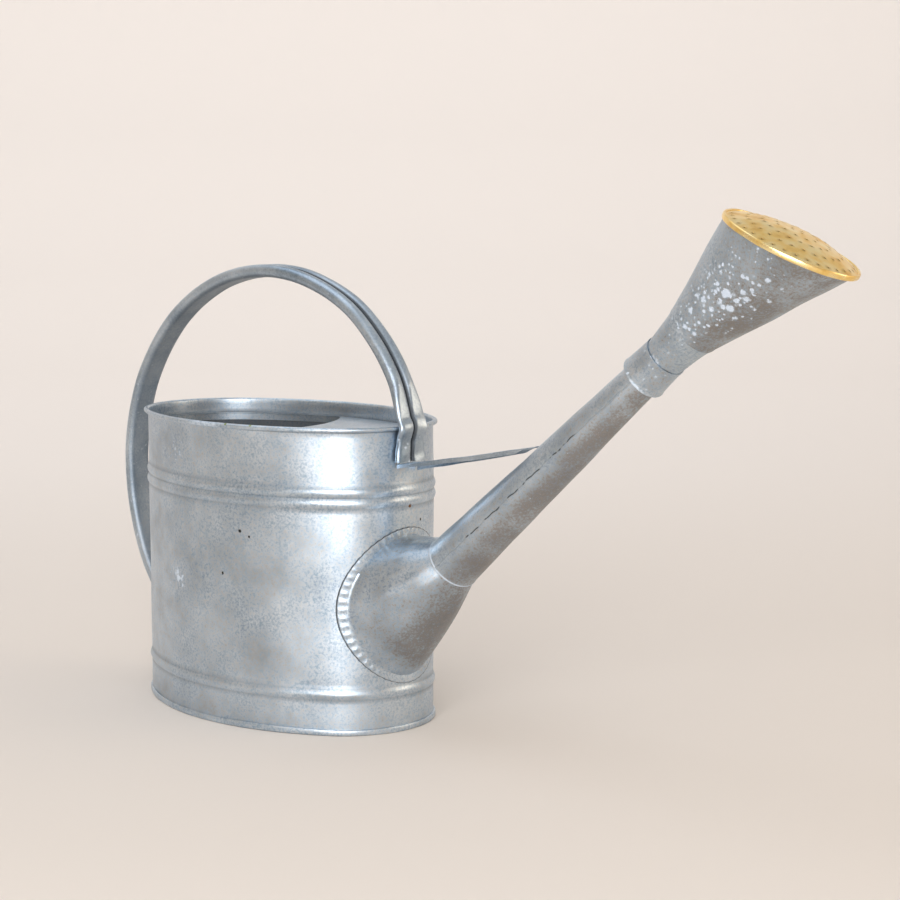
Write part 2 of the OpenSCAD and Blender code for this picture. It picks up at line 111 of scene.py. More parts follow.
def sheet(name, outer, inner, wrap_cols=False, smooth_below=35):
    """A closed sheet from two grids (rows, columns, 3): both faces, and a strip along each edge that is open.
    The columns may wrap round, as on a tube."""
    rows, cols = outer.shape[:2]
    half = rows * cols
    ids = np.arange(half).reshape(rows, cols)
    if wrap_cols:
        ids = np.hstack([ids, ids[:, :1]])
    faces = [quads(ids), quads(ids)[:, ::-1] + half]
    for edge in [ids[0, ::-1], ids[-1]] + ([] if wrap_cols else [ids[:, 0], ids[::-1, -1]]):
        faces.append(np.stack([edge[:-1], edge[1:], edge[1:] + half, edge[:-1] + half], -1))
    points = np.vstack([outer.reshape(-1, 3), inner.reshape(-1, 3)])
    return make_mesh(name, points, facing_out(points, np.vstack(faces)), smooth_below)


def loop_sweep(name, points, smooth_below=35):
    """A solid ring from a closed outline carried along a closed path: rows run along the path, and columns go
    round the outline."""
    rows, cols = points.shape[:2]
    ids = np.arange(rows * cols).reshape(rows, cols)
    ids = np.hstack([ids, ids[:, :1]])
    faces = quads(np.vstack([ids, ids[:1]]))
    flat = points.reshape(-1, 3)
    return make_mesh(name, flat, facing_out(flat, faces), smooth_below)


def paint(piece, name, values):
    """Stores one number a point for the material to read. A sheet's outer values serve its inner face too."""
    values = np.asarray(values, dtype=np.float32).ravel()
    if len(values) * 2 == len(piece.data.vertices):
        values = np.concatenate([values, values])
    layer = piece.data.attributes.new(name, "FLOAT", "POINT")
    layer.data.foreach_set("value", values)


print("mesh helpers ready")

# %% [markdown]
# ## Steps, hills and unevenness
# Nothing on an old can is quite true. Most of its softness comes from three formulas: an even step, a smooth
# hill, and a ripple of a few sine waves that stands for the unevenness that hand rolling leaves.
# %% Shape helpers
def smooth(u):
    """An even step from 0 to 1: 3u^2 - 2u^3, held at both ends."""
    u = np.clip(u, 0, 1)
    return u * u * (3 - 2 * u)


def bump(x, middle, width):
    """A smooth hill of height 1: exp(-((x - middle) / width)^2)."""
    return np.exp(-(((x - middle) / width) ** 2))


def ripple(a, b, length, height, seed, around=None):
    """Gentle unevenness of a height in mm: nine sine waves of about the given length in mm, in seeded
    directions. a and b are distances in mm along the surface, and a repeats after the distance around."""
    rng, waves = np.random.default_rng(seed), 9
    turns, phases = rng.uniform(0, math.pi, waves), rng.uniform(0, 2 * math.pi, waves)
    total = np.zeros(np.broadcast(a, b).shape)
    for turn, phase, scale in zip(turns, phases, rng.uniform(0.6, 1.5, waves)):
        ka, kb = math.cos(turn) / (length * scale), math.sin(turn) / (length * scale)
        if around:
            ka = round(ka * around) / around
        total = total + np.sin(2 * math.pi * (a * ka + b * kb) + phase)
    return height * total / 3


def ring_ripple(turn, along, radius, length, height, seed):
    """The same unevenness on a tube of about the given radius, at an angle in radians and a way along it."""
    return ripple(turn * radius, along, length, height, seed, 2 * math.pi * radius)


def rounded_box(turn, half_wide, half_tall, power):
    """An outline between an oval and a box: the half width times the cosine and the half height times the
    sine, both with their sign kept and their size raised to a power below 1."""
    c, s = np.cos(turn), np.sin(turn)
    return half_wide * np.sign(c) * np.abs(c) ** power, half_tall * np.sign(s) * np.abs(s) ** power


def signed_degrees(turn):
    """An angle in radians as degrees from -180 to 180."""
    return (np.degrees(turn) + 180) % 360 - 180


print("a ripple of 1 mm at a point", round(float(ripple(3, 4, 20, 1, 1)), 3))

# %% [markdown]
# ## The body
# The body is one sheet rolled into an oval, with its top edge curled outwards over a wire. Two beads under
# the rim and one above the foot are rolled into it to stiffen it. The outline of the sheet, cut through, is
# carried round the oval. Hand rolling leaves the wall slightly wavy, so a ripple moves both faces.
# %% The oval path
def oval(turn, offset):
    """Point of the oval whose outward normal has the angle turn: the centre of its arc plus the arc's radius
    and the offset along that normal. The ends' centres lie on X and the flanks' on Y."""
    turn = (np.asarray(turn) + math.pi) % (2 * math.pi) - math.pi
    front, back = np.abs(turn) <= JOIN, np.abs(turn) >= math.pi - JOIN
    end = front | back
    cx = np.where(front, END_X, np.where(back, -END_X, 0))
    cy = np.where(end, 0, np.where(turn > 0, -FLANK_Y, FLANK_Y))
    radius = np.where(end, END_R, FLANK_R) + offset
    return np.stack([cx + radius * np.cos(turn), cy + radius * np.sin(turn)], -1)


def even_turns(count):
    """Normal angles that are evenly spaced along the oval, with the distance along it and the whole girth.
    The distances are read the other way round from a fine table of angles."""
    fine = np.linspace(0, 2 * math.pi, 7201)
    steps = np.linalg.norm(np.diff(oval(fine, 0), axis=0), axis=1)
    along = np.concatenate([[0], np.cumsum(steps)])
    want = np.arange(count) * along[-1] / count
    return np.interp(want, along, fine), want, along[-1]


TURNS, ROUND, GIRTH = even_turns(520)
print("girth of the body", round(GIRTH, 1), "mm")

# %% The wall with its beads and its curled rim
FOLDS = [LOW_BEAD, LOW_BEAD + BEAD_W, MID_BEAD, TOP_BEAD, TOP_BEAD + BEAD_W]
WALL_FROM, WALL_TO = 0.7, 264.6


def beads(z):
    """How far the wall stands proud at a height: half a sine wave over each bead's width."""
    shares = [(z - crease) / BEAD_W for crease in (LOW_BEAD, MID_BEAD, TOP_BEAD)]
    return sum(np.where((share > 0) & (share < 1), BEAD_H * np.sin(math.pi * share), 0) for share in shares)


def wall_ripple(turn_mm, z):
    """Slow and fine waves, which die out towards the stiff rim and the foot, and a small waver that is the
    same at every height. The whole is set in 0.08 mm, which keeps the waves inside the measured box."""
    free = smooth((262 - z) / 45) * smooth((z + 6) / 40)
    slow = ripple(turn_mm, z, 120, 0.35, 4, GIRTH)
    fine = ripple(turn_mm, z, 38, 0.10, 9, GIRTH)
    return (slow + fine) * free + ripple(turn_mm, 0 * z, 60, 0.06, 2, GIRTH) - 0.08


heights = np.unique(np.concatenate([
    np.linspace(WALL_FROM, FOLDS[0], 9), np.linspace(FOLDS[0], FOLDS[1], 10),
    np.linspace(FOLDS[1], FOLDS[2], 34), np.linspace(FOLDS[2], FOLDS[4], 19),
    np.linspace(FOLDS[4], WALL_TO, 12)]))
curl = np.radians(np.linspace(-118, 180, 22))
wall_off = np.concatenate([beads(heights), RIM_OFF + RIM_R * np.cos(curl), beads(heights[::-1]) - SHEET])
wall_z = np.concatenate([heights, RIM_Z + RIM_R * np.sin(curl), heights[::-1]])
grid_off = wall_off[None, :] + wall_ripple(ROUND[:, None], wall_z[None, :])
grid_z = np.broadcast_to(wall_z[None, :, None], grid_off.shape + (1,))
wall = np.concatenate([oval(TURNS[:, None], grid_off), grid_z], -1)
body = loop_sweep("body_sheet", wall, smooth_below=50)
print("body points", wall.shape, "widest y", round(float(wall[..., 1].max()), 2))

# %% [markdown]
# ## What use has left on the wall, and painted shade
# A material sees only coordinates, so what happened at one place on a piece is painted on its mesh, as one
# number a point, and so is painted shade. Four such numbers are used: one is brown dirt, which on the boot,
# the tube and the cone also lays painted shade on their undersides; one is round chalky spots; one is the
# thick white edge of old solder and zinc, which on the tube's lower edge is a painted highlight; and one is
# near-black painted shade in folds, slits and hollows where little light gets in, which also marks open
# seams.
# On one side the wall has chalky smears and scratches behind its middle, and brown stains before it and at
# the foot. Painted shade darkens the folds of its beads, a band just under the rim on the near side, and its
# inner face. There is solder on the rim.
# %% Stains, painted shade and solder on the wall
turn_deg, row_z = np.meshgrid(signed_degrees(TURNS), wall_z, indexing="ij")
row = np.broadcast_to(np.arange(len(wall_z)), row_z.shape)
curl_from, curl_to = len(heights), len(heights) + len(curl)
outer_face, on_curl, inner_face = row < curl_from, (row >= curl_from) & (row < curl_to), row >= curl_to
under_rim = (row == curl_from) | (row == curl_from + 1)
smears = 0.9 * bump(turn_deg, -101, 7) * bump(row_z, 125, 14)
scratches = 0.75 * bump(turn_deg, -99, 8) * bump(row_z, 240, 16)
paint(body, "bloom", (smears + scratches) * outer_face)
paint(body, "crust_and_glint", 0.75 * bump(turn_deg, -88, 9) * on_curl)
upper_stain = 0.5 * bump(turn_deg, -77, 15) * bump(row_z, 141, 26)
lower_stain = 0.65 * bump(turn_deg, -73, 8) * bump(row_z, 62, 22)
washed = 0.25 * bump(turn_deg, -112, 14) + 0.35 * bump(row_z, 8, 10)
paint(body, "dirt_and_shade", (upper_stain + lower_stain + washed) * outer_face)
# Painted shade: a dark band just under the rim's curl on the near side, the inner face below the deck, and
# dark lines along the folds of the beads.
rim_shadow = 0.8 * under_rim * smooth((turn_deg + 80) / 8) * smooth((0 - turn_deg) / 8)
inner_shade = 0.78 * inner_face * smooth((260 - row_z) / 5)
fold_shade = 0.32 * outer_face * sum(bump(row_z, z, 0.9) for z in FOLDS)
paint(body, "gap", rim_shadow + inner_shade + fold_shade)
print("rows on the outer face, the curl and the inner face", curl_from, len(curl), len(heights))

# %% [markdown]
# ## The foot
# The bottom plate is set up inside the wall, and its edge is folded down and back up round the wall's foot.
# That seam stands a little proud all round, and is worn and uneven where the can has been set down.
# %% The foot seam and the bottom plate
SEAM_OFF, SEAM_MID = 0.35, 2.9
seam_wide, seam_tall = rounded_box(np.radians(np.linspace(0, 360, 16, endpoint=False)), 1.35, 2.7, 0.6)
seam_off, seam_z = (SEAM_OFF + seam_wide)[None, :], (SEAM_MID + seam_tall)[None, :]
seam_ripple = ripple(ROUND, 0, 45, 0.16, 5, GIRTH)[:, None]
top_waver = 0.05 + ripple(ROUND, 0, 90, 0.30, 6, GIRTH)[:, None]
seam_height = seam_z + np.where(seam_z > SEAM_MID, top_waver, 0)
seam_xy = oval(TURNS[:, None], seam_off + seam_ripple)
foot = loop_sweep("foot_seam", np.concatenate([seam_xy, seam_height[..., None]], -1), smooth_below=60)

plate_share = np.array([1, 0.995, 0.97, 0.9, 0.75, 0.5, 0.25, 0.02])
plate_xy = oval(TURNS[::4], -0.9)[None] * plate_share[:, None, None]
plate_z = np.array([3, 9.5, 10.6, 10.8, 11.2, 11.6, 11.8, 11.8])[:, None] + 0 * TURNS[None, ::4]
plate = np.concatenate([plate_xy, plate_z[..., None]], -1)
bottom = sheet("bottom_plate", plate, plate - [0, 0, SHEET], wrap_cols=True)
print("foot lies at", round(float(seam_height.min()), 3), "mm")

# %% [markdown]
# ## The handle
# The handle is one strap whose two edges are rolled inwards into tubes, with an open slit between them. Its
# ends are crushed flat and soldered to the wall. Its middle line climbs the wall, steps round the rim, and
# turns through three arcs of different radius. The section, which flattens towards the ends, follows it.
# %% The handle's arcs
RISE, BOW, SPRING, SPRING_OFF = 131.0, 68.5, 10.0, 3.2
FRONT_DROP, REAR_FOOT, TAIL_REACH, TAIL_R = 29.0, 6.0, 31.5, 14.0
HEADINGS = np.radians([107.4, 156.2, 226.3, 306.6])
TAIL_HEADING = HEADINGS[3]
arc3 = (BOW - TAIL_REACH) / (1 + math.sin(TAIL_HEADING))
span = -2 * HALF_L - BOW - SPRING_OFF + arc3 * (1 + math.sin(HEADINGS[2]))
sx = np.diff(np.sin(HEADINGS[:3]))
sz = [math.cos(HEADINGS[0]) - math.cos(HEADINGS[1]), math.cos(HEADINGS[1]) + 1]
arc1 = (RISE - SPRING - sz[1] * span / sx[1]) / (sz[0] - sz[1] * sx[0] / sx[1])
arc2 = (span - arc1 * sx[0]) / sx[1]
print("arc radii", round(arc1, 1), round(arc2, 1), round(arc3, 1))

# %% The handle's path
CRUSHED, ROLL = 6.4, 11.8
SEAT = 0.3 + CRUSHED / 2
RIM_SEAT = RIM_OFF + RIM_R + SEAT


def front_off(h):
    """Distance of the strap's middle from the wall at a height h from the rim: an even step round the rim's
    curl below, and above it a cubic curve that ends at the first arc with that arc's slope."""
    u = np.clip(h / SPRING, 0, 1)
    slope = SPRING / math.tan(HEADINGS[0])
    above = (2 * u**3 - 3 * u**2 + 1) * RIM_SEAT + (3 * u**2 - 2 * u**3) * SPRING_OFF + (u**3 - u**2) * slope
    return np.where(h <= 0, SEAT + (RIM_SEAT - SEAT) * smooth(1 + h / 12), above)


def swing(start, turn):
    """The way along a circle of radius 1 while the heading changes from start to turn."""
    return np.stack([np.sin(turn) - math.sin(start), math.cos(start) - np.cos(turn)], -1)


rise = np.linspace(-FRONT_DROP, SPRING, 40)[:-1]
path = [np.stack([HALF_L + front_off(rise), RIM_Z + rise], -1)]
corner = np.array([HALF_L + SPRING_OFF, RIM_Z + SPRING])
for radius, start, end, count in zip([arc1, arc2, arc3], HEADINGS[:3], HEADINGS[1:], [46, 84, 90]):
    arc = corner + radius * swing(start, np.linspace(start, end, count))
    path.append(arc[:-1])
    corner = arc[-1]
bend_x = TAIL_R * (1 + math.sin(TAIL_HEADING))
run = (-HALF_L - SEAT - bend_x - corner[0]) / math.cos(TAIL_HEADING)
tail = corner + run * np.array([math.cos(TAIL_HEADING), math.sin(TAIL_HEADING)])
path.append(corner + np.linspace(0, 1, 6)[:-1, None] * (tail - corner))
path.append(tail - TAIL_R * swing(TAIL_HEADING, np.linspace(TAIL_HEADING, math.radians(270), 9)))
path.append(path[-1][-1] - REAR_FOOT * np.array([[0, 1], [0, 2], [0, 3]]) / 3)
path = np.vstack(path)
step = np.gradient(path, axis=0)
heading = np.unwrap(np.arctan2(step[:, 1], step[:, 0]))[:, None]
travel = np.concatenate([[0], np.cumsum(np.linalg.norm(np.diff(path, axis=0), axis=1))])
print("handle length", round(float(travel[-1])), "mm, top at", round(float(path[:, 1].max()), 1))

# %% The rolled section and its crushed ends
ROLL_TURN = np.radians(np.concatenate([[-90], np.linspace(-90, 90, 15), np.linspace(90, 212, 11)]))
ROLL_SIDE = np.concatenate([[-1], np.ones(15), -np.ones(11)])
from_end = np.minimum(travel, travel[-1] - travel)
front_thick = CRUSHED + (ROLL - CRUSHED) * smooth((from_end - 42) / 34)
rear_thick = CRUSHED + (ROLL - CRUSHED) * smooth((from_end - 22) / 40)
thick = np.where(travel > travel[-1] / 2, rear_thick, front_thick)[:, None]


def strap_half(cut):
    """Half a section: a flat web, then a ring as thick as the strap, stretched sideways so that its length
    stays the same when it is crushed. Returns points (stations, around, 2) as [across, outwards]."""
    flat = 0.3 + math.pi * (ROLL - thick) / 2
    middle = (flat + thick + 1.2) / 2
    across = middle + ROLL_SIDE * flat / 2 + (thick / 2 - cut) * np.cos(ROLL_TURN)
    return np.stack([across, (thick / 2 - cut) * np.sin(ROLL_TURN)], -1)


def strap_grid(cut):
    """The section placed across the path, with a faint waver along it and a hammered unevenness at the feet.
    The front foot is flared a little where it was beaten flat."""
    half = strap_half(cut)
    section = np.concatenate([half[:, ::-1] * [-1, 1], half], 1)
    hammered = 1 - smooth((from_end - 30) / 30)
    waver = ripple(travel[:, None], section[..., 0] * 2, 16, 0.5, 12) * hammered[:, None]
    waver = waver + ripple(travel[:, None], section[..., 0], 60, 0.14, 13) - 0.08
    out = section[..., 1] + waver
    flare = 1 + 0.11 * smooth((16 - travel) / 16) + 0.03 * bump(travel, 29, 4)
    across = section[..., 0] * flare[:, None] + ripple(travel, 0, 90, 0.35, 14)[:, None]
    return np.stack([path[:, :1] + out * np.sin(heading), across, path[:, 1:] - out * np.cos(heading)], -1)


strap_outer, strap_inner = strap_grid(0), strap_grid(0.8)
handle = sheet("handle_strap_rolled", strap_outer, strap_inner, smooth_below=60)
print("handle grid", strap_outer.shape)

# %% Shade in the handle's slit and under its web
strap_x, strap_z = strap_outer[..., 0] - path[:, :1], strap_outer[..., 2] - path[:, 1:]
outwards = strap_x * np.sin(heading) - strap_z * np.cos(heading)
under_web = 0.42 * smooth((-1.5 - outwards) / 3)
slit = 0.85 * smooth((3.4 - np.abs(strap_outer[..., 1])) / 1.6) * (outwards > 0)
paint(handle, "gap", under_web + slit)
print("share of the handle in the slit", round(float((slit > 0.4).mean()), 3))

# %% [markdown]
# ## The boot
# The boot joins the round tube to the curved wall. It is one raised sheet: a flange crimped all round, which
# lies on the wall, a hood that swells out of it, and a neck inside the tube. A cubic curve runs from each
# point of the flange to the matching point of the neck, so the hood's fullness is set by two directions. It
# is fuller above than below, where the real one is almost flat and holds dirt. Its underside is painted
# darker and browner, both as that dirt and as painted shade, and a near-black line of painted shade runs
# round the flange's edge.
# %% Points on the spout and on the wall
CRIMPS = 56
BOOT_W, BOOT_H, BOOT_Z, FLANGE = 60.0, 69.0, 111.6, 7.0
around = np.linspace(0, 2 * math.pi, CRIMPS * 8, endpoint=False)


def tube_radius(s):
    """Outside radius of the tapered tube at a distance along the spout."""
    return TUBE_R1 - (TUBE_R1 - TUBE_R2) / (TUBE_TO - TUBE_FROM) * (s - TUBE_FROM)


def about_spout(s, radius, turn, zero, quarter):
    """The point at a distance along the spout and a radius from its middle line. A turn of 0 points in the
    direction zero, and a quarter turn in the direction quarter."""
    s, radius, turn = (value[..., None] for value in np.broadcast_arrays(s, radius, turn))
    return FOOT + s * ALONG + radius * (np.cos(turn) * zero + np.sin(turn) * quarter)


def spout_point(s, radius, turn):
    """A point about the spout; turn 0 is its crown."""
    return about_spout(s, radius, turn, UP, SIDE)


def flange_point(inset, offset, slip=0):
    """The points at an inset from the flange's oval edge, at an offset outside the body's round end. They
    can slip up or down it."""
    y = (BOOT_W - inset) * np.sin(around)
    z = BOOT_Z + (BOOT_H - inset) * np.cos(around) + slip
    return np.stack([END_X + np.sqrt((END_R + offset) ** 2 - y**2), y, z], -1)


print("crimps", CRIMPS, "one every", round(2 * math.pi * 64.5 / CRIMPS, 1), "mm")

# %% The crimped flange, the hood and the neck
def boot_grid(skin):
    """Rows from the flange's edge to the neck, for the outer face (skin 0) or the inner face (skin = sheet).
    A crimp is a cosine wave round the flange, and fades in and out across it as half a sine wave."""
    pinch = 0.5 + 0.5 * np.cos(CRIMPS * around)
    uneven = 0.55 + 0.45 * smooth(0.5 + ring_ripple(around, 0, 64, 30, 0.5, 22))
    rows = []
    for inset in np.linspace(0, FLANGE, 8)[:-1]:
        lump = 0.5 * pinch**1.5 * uneven * math.sin(math.pi * min(1, inset / 6.5)) ** 0.8
        nicks = 0.25 * np.sin(CRIMPS * around) * (inset == 0)
        rows.append(flange_point(inset, 0.35 + SHEET - skin + lump, nicks))
    inside_tube = SHEET + 0.3 + skin
    start = flange_point(FLANGE + skin, 0.3 + SHEET - skin)
    end = spout_point(TUBE_FROM, tube_radius(TUBE_FROM) - inside_tube, around)
    reach = np.linalg.norm(end - start, axis=1)[:, None]
    above = np.cos(around)[:, None]
    leave = np.stack([0.86 + 0.14 * np.cos(around), -0.3 * np.sin(around), 0.28 - 0.33 * np.cos(around)], -1)
    out = above * UP + np.sin(around)[:, None] * SIDE
    b = start + (0.33 + 0.07 * above) * reach * leave
    c = end + (0.25 + 0.05 * above) * reach * ((0.62 + 0.38 * above) * out - ALONG)
    for u in np.linspace(0, 1, 30):
        hood = (1 - u) ** 3 * start + 3 * u * (1 - u) ** 2 * b + 3 * u * u * (1 - u) * c + u**3 * end
        dent = ring_ripple(around, u * 90, 55, 34, 0.45, 21) * math.sin(math.pi * u) ** 0.7
        rows.append(hood + dent[:, None] * out)
    for s in (TUBE_FROM + 4, TUBE_FROM + 14):
        rows.append(spout_point(s, tube_radius(s) - inside_tube, around))
    return np.stack(rows)


boot_outer = boot_grid(0)
boot = sheet("spout_boot_crimped", boot_outer, boot_grid(SHEET), wrap_cols=True, smooth_below=50)
boot_rows, boot_turn = np.meshgrid(np.arange(len(boot_outer)), around, indexing="ij")
# Painted shade: a near-black line along the flange's outer edge, where it meets the wall.
paint(boot, "gap", 0.9 * (boot_rows == 0))
# The underside is painted darker and browner, both as dirt and as painted shade.
paint(boot, "dirt_and_shade", 1.15 * (0.5 - 0.5 * np.cos(boot_turn)) ** 3 * smooth((boot_rows - 7) / 8))
print("boot grid", boot_outer.shape)

# %% [markdown]
# ## The spout tube
# The tube is a tapered sheet rolled round until its edges lap, so one line runs along it where the outer edge
# ends. The solder has come out of that seam in places, which shows as dark stretches. The tube's lower end
# laps over the boot's neck, and its thin edge there is painted white, a painted highlight. The tube's
# underside is painted darker and browner, as painted shade laid on as brown patches.
# %% The rolled tube
SEAM_TURN = math.radians(-95)
tube_s = np.concatenate([np.linspace(TUBE_FROM, TUBE_FROM + 6, 7), np.linspace(TUBE_FROM + 7, TUBE_TO, 230)])
near_seam, far_turns = np.linspace(-0.05, 0.12, 16), np.linspace(0.16, 2 * math.pi - 0.09, 170)
row_s, row_turn = np.meshgrid(tube_s, SEAM_TURN + np.concatenate([near_seam, far_turns]), indexing="ij")


def tube_grid(cut):
    """The taper, set in by the cut. Its radius rises 0.5 mm just before the seam, where one edge laps over
    the other and ends. Shallow dents run along the tube, and its lower end is slightly rolled out."""
    beyond = (row_turn - SEAM_TURN) % (2 * math.pi)
    over = np.where(beyond > math.pi, smooth((beyond - 2 * math.pi + 0.5) / 0.45), 0)
    away_from_ends = smooth((row_s - TUBE_FROM) / 20) * smooth((TUBE_TO - row_s) / 30)
    dents = ripple(row_s, row_turn * 22, 70, 0.22, 31) * away_from_ends
    radius = tube_radius(row_s) + 0.5 * over + dents + 0.5 * bump(row_s, TUBE_FROM, 2.2)
    return spout_point(row_s, radius - cut, row_turn)


def seam_gaps():
    """Dark stretches where the solder has left the seam: a line about 1 mm wide that wanders a little, faint
    all along and dark where a slow wave is high."""
    across = (row_turn - SEAM_TURN) * tube_radius(row_s)
    wander = 0.35 * np.sin(row_s / 4.5) + 0.25 * np.sin(row_s / 1.9 + 1)
    wave = ripple(row_s, 0, 30, 1.0, 34) + 0.5 * ripple(row_s, 0, 7, 1.0, 35)
    open_here = smooth((wave + 0.2) / 0.4) * smooth((row_s - 108) / 8) * smooth((272 - row_s) / 10)
    return np.clip(bump(across, wander, 0.5) * (0.2 + open_here) * 1.2, 0, 1)


tube = sheet("spout_tube_rolled", tube_grid(0), tube_grid(SHEET), wrap_cols=True, smooth_below=30)
paint(tube, "gap", seam_gaps())
# A painted highlight: the first rows at the tube's lower edge are painted white.
paint(tube, "crust_and_glint", 1.1 * (row_s < TUBE_FROM + 1.3))
# Painted shade on the tube's underside, laid on as brown patches.
paint(tube, "dirt_and_shade", 0.95 * smooth((np.abs(signed_degrees(row_turn)) - 95) / 40))
print("tube ends at", np.round(spout_point(TUBE_TO, 0, 0), 1).tolist())

# %% [markdown]
# ## The brace
# The brace is a tapered strip with both edges folded down, soldered to the wall and to the tube's crown. It
# has been knocked, so it lies rolled a few degrees about its own length.
# %% The brace
BRACE_WIDE, BRACE_NARROW, BRACE_REACH, BRACE_ROLL = 26.0, 13.0, 155.0, 8.0
BRACE_WALL_Z, BRACE_CROWN_Z, SOLDER = 235.5, 265.2, 0.3


def brace_grid(under):
    """The strip's outline, from one hem over the top to the other, carried from the wall to the tube. The
    outline narrows on the way, and its hems fade out where it is soldered down. Under is 1 for the inside."""
    u = np.concatenate([np.linspace(0, 0.86, 40), np.linspace(0.875, 1, 10)])[:, None]
    half = (BRACE_WIDE + (BRACE_NARROW - BRACE_WIDE) * u) / 2
    hem = 1 + 3 * (1 - smooth((u - 0.84) / 0.08))
    t = 0.9 * under
    bend = np.linspace(0, math.pi / 2, 5)[None]
    left_bend = -half + 1 - (1 - t) * np.cos(bend), -1 + (1 - t) * np.sin(bend)
    right_bend = half - 1 + (1 - t) * np.sin(bend), -1 + (1 - t) * np.cos(bend)
    top = np.linspace(-1, 1, 7)[None, 1:-1] * (half - 1), -t
    outline = [(-half + t, -hem), (-half + t, -0.6 * hem), left_bend, top,
               right_bend, (half - t, -0.6 * hem), (half - t, -hem)]
    y, z = (np.hstack(parts) for parts in zip(*(np.broadcast_arrays(*pair) for pair in outline)))
    roll = np.radians(-BRACE_ROLL) * (1 - u)
    sag = -0.6 * np.sin(math.pi * u) + ripple(u * BRACE_REACH, 0, 40, 0.2, 41)
    x = np.broadcast_to(HALF_L + SOLDER + u * (BRACE_REACH - SOLDER), y.shape)
    level = BRACE_WALL_Z + u * (BRACE_CROWN_Z - BRACE_WALL_Z) + sag
    return np.stack([x, y * np.cos(roll) - z * np.sin(roll), level + y * np.sin(roll) + z * np.cos(roll)], -1)


brace = sheet("brace_strip_folded", brace_grid(0), brace_grid(1), smooth_below=50)
print("brace runs to x =", HALF_L + BRACE_REACH)

# %% [markdown]
# ## The rose
# The rose is a collar that is pushed on the spout, a flared neck and a wide cone, all soldered together. The
# cone is cut at a slant, so its face is an oval that is tipped up. Each shell is a surface of revolution
# about the spout's line. The rose was pushed on a little turned. Old zinc and solder stand white at its two
# joints, and its near side is covered with chalky spots where water ran over it.
# %% The rose's frame and shells
ROSE_TURN, FACE_TILT = math.radians(13.5), math.radians(26.6)
COLLAR_FROM, COLLAR_TO, NECK_TO, FACE_AT = 340.9, 368.9, 402.9, 510.9
COLLAR_R1, COLLAR_R2, NECK_R, CREASE_R, FLARE = 19.1, 18.0, 17.35, 22.1, math.tan(math.radians(14))
DOWN = math.cos(ROSE_TURN) * -UP - math.sin(ROSE_TURN) * SIDE
ACROSS = math.sin(ROSE_TURN) * -UP + math.cos(ROSE_TURN) * SIDE
rose_turns = np.linspace(0, 2 * math.pi, 240, endpoint=False)


def rose_point(s, radius, turn):
    """A point about the spout; turn 0 is the rose's long, lower side."""
    return about_spout(s, radius, turn, DOWN, ACROSS)


def shell(name, stations, radii, wobble, seed):
    """A turned sheet: radii given along the stations, with a ripple in mm that keeps both faces parallel."""
    s, turn = np.meshgrid(stations, rose_turns, indexing="ij")
    radius = radii[:, None] + ring_ripple(turn, s, 25, 36, wobble, seed)
    return sheet(name, rose_point(s, radius, turn), rose_point(s, radius - SHEET, turn), wrap_cols=True)


def rose_mark(along, middle, length, degrees, width):
    """A painted mark that fades along the rose from a middle, and round it from an angle in degrees. Where
    along is all zeros and so is the middle, the mark runs the whole way."""
    return bump(along, middle, length)[:, None] * bump(signed_degrees(rose_turns), degrees, width)[None]


print("rose turned by", round(math.degrees(ROSE_TURN), 1), "degrees")

# %% The collar and the neck
collar_s = np.concatenate([
    np.linspace(COLLAR_FROM, COLLAR_FROM + 3, 6), np.linspace(COLLAR_FROM + 4.5, COLLAR_TO, 16)])
collar_r = COLLAR_R1 + (COLLAR_R2 - COLLAR_R1) * (collar_s - COLLAR_FROM) / (COLLAR_TO - COLLAR_FROM)
collar_r = collar_r + 0.55 * bump(collar_s, COLLAR_FROM, 1.8) + 0.25 * bump(collar_s, COLLAR_TO, 2)
collar = shell("rose_collar_turned", collar_s, collar_r, 0.14, 51)
paint(collar, "crust_and_glint", 0.8 * rose_mark(collar_s, COLLAR_FROM + 1, 1.6, -45, 50))
paint(collar, "bloom", 0.2 * rose_mark(0 * collar_s, 0, 1, -70, 70))

neck_s = np.concatenate([[COLLAR_TO - 3], np.linspace(COLLAR_TO, NECK_TO, 26)])
neck_u = np.clip((neck_s - COLLAR_TO) / (NECK_TO - COLLAR_TO), 0, 1)
neck_r = NECK_R + (CREASE_R - NECK_R) * (0.75 * neck_u + 0.25 * neck_u**3)
neck = shell("rose_neck_flared", neck_s, neck_r, 0.22, 52)
at_collar = rose_mark(neck_s, COLLAR_TO + 1.5, 2.2, -60, 35)
at_crease = rose_mark(neck_s, NECK_TO, 3, -60, 70)
paint(neck, "crust_and_glint", 0.7 * at_collar + 0.5 * at_crease)
paint(neck, "bloom", 0.6 * rose_mark(neck_s, NECK_TO - 8, 14, -70, 60))
print("collar and neck radii", round(float(collar_r.max()), 1), round(float(neck_r.max()), 1))

# %% The slanted cone
cone_u = np.linspace(0, 1, 60)


def face_station(radius_start, turn):
    """How far along the spout the slanted face cuts the cone, for each turn: where s = FACE_AT + x tan(tilt),
    with x = radius cos(turn) and the radius growing by the cone's flare."""
    c = np.cos(turn) * math.tan(FACE_TILT)
    return (FACE_AT + (radius_start - FLARE * NECK_TO) * c) / (1 - FLARE * c)


def cone_grid(cut):
    """Rows from the crease to the slanted edge; shallow dents grow towards the middle of the cone."""
    u = cone_u[:, None]
    s = NECK_TO + u * (face_station(CREASE_R, rose_turns) - NECK_TO)[None]
    radius = CREASE_R + FLARE * (s - NECK_TO)
    dents = ring_ripple(rose_turns[None], s, 36, 44, 0.42, 53) * np.sin(math.pi * u) ** 0.8
    return rose_point(s, radius + dents + 0.35 * bump(s, NECK_TO, 1.6) - cut, rose_turns[None])


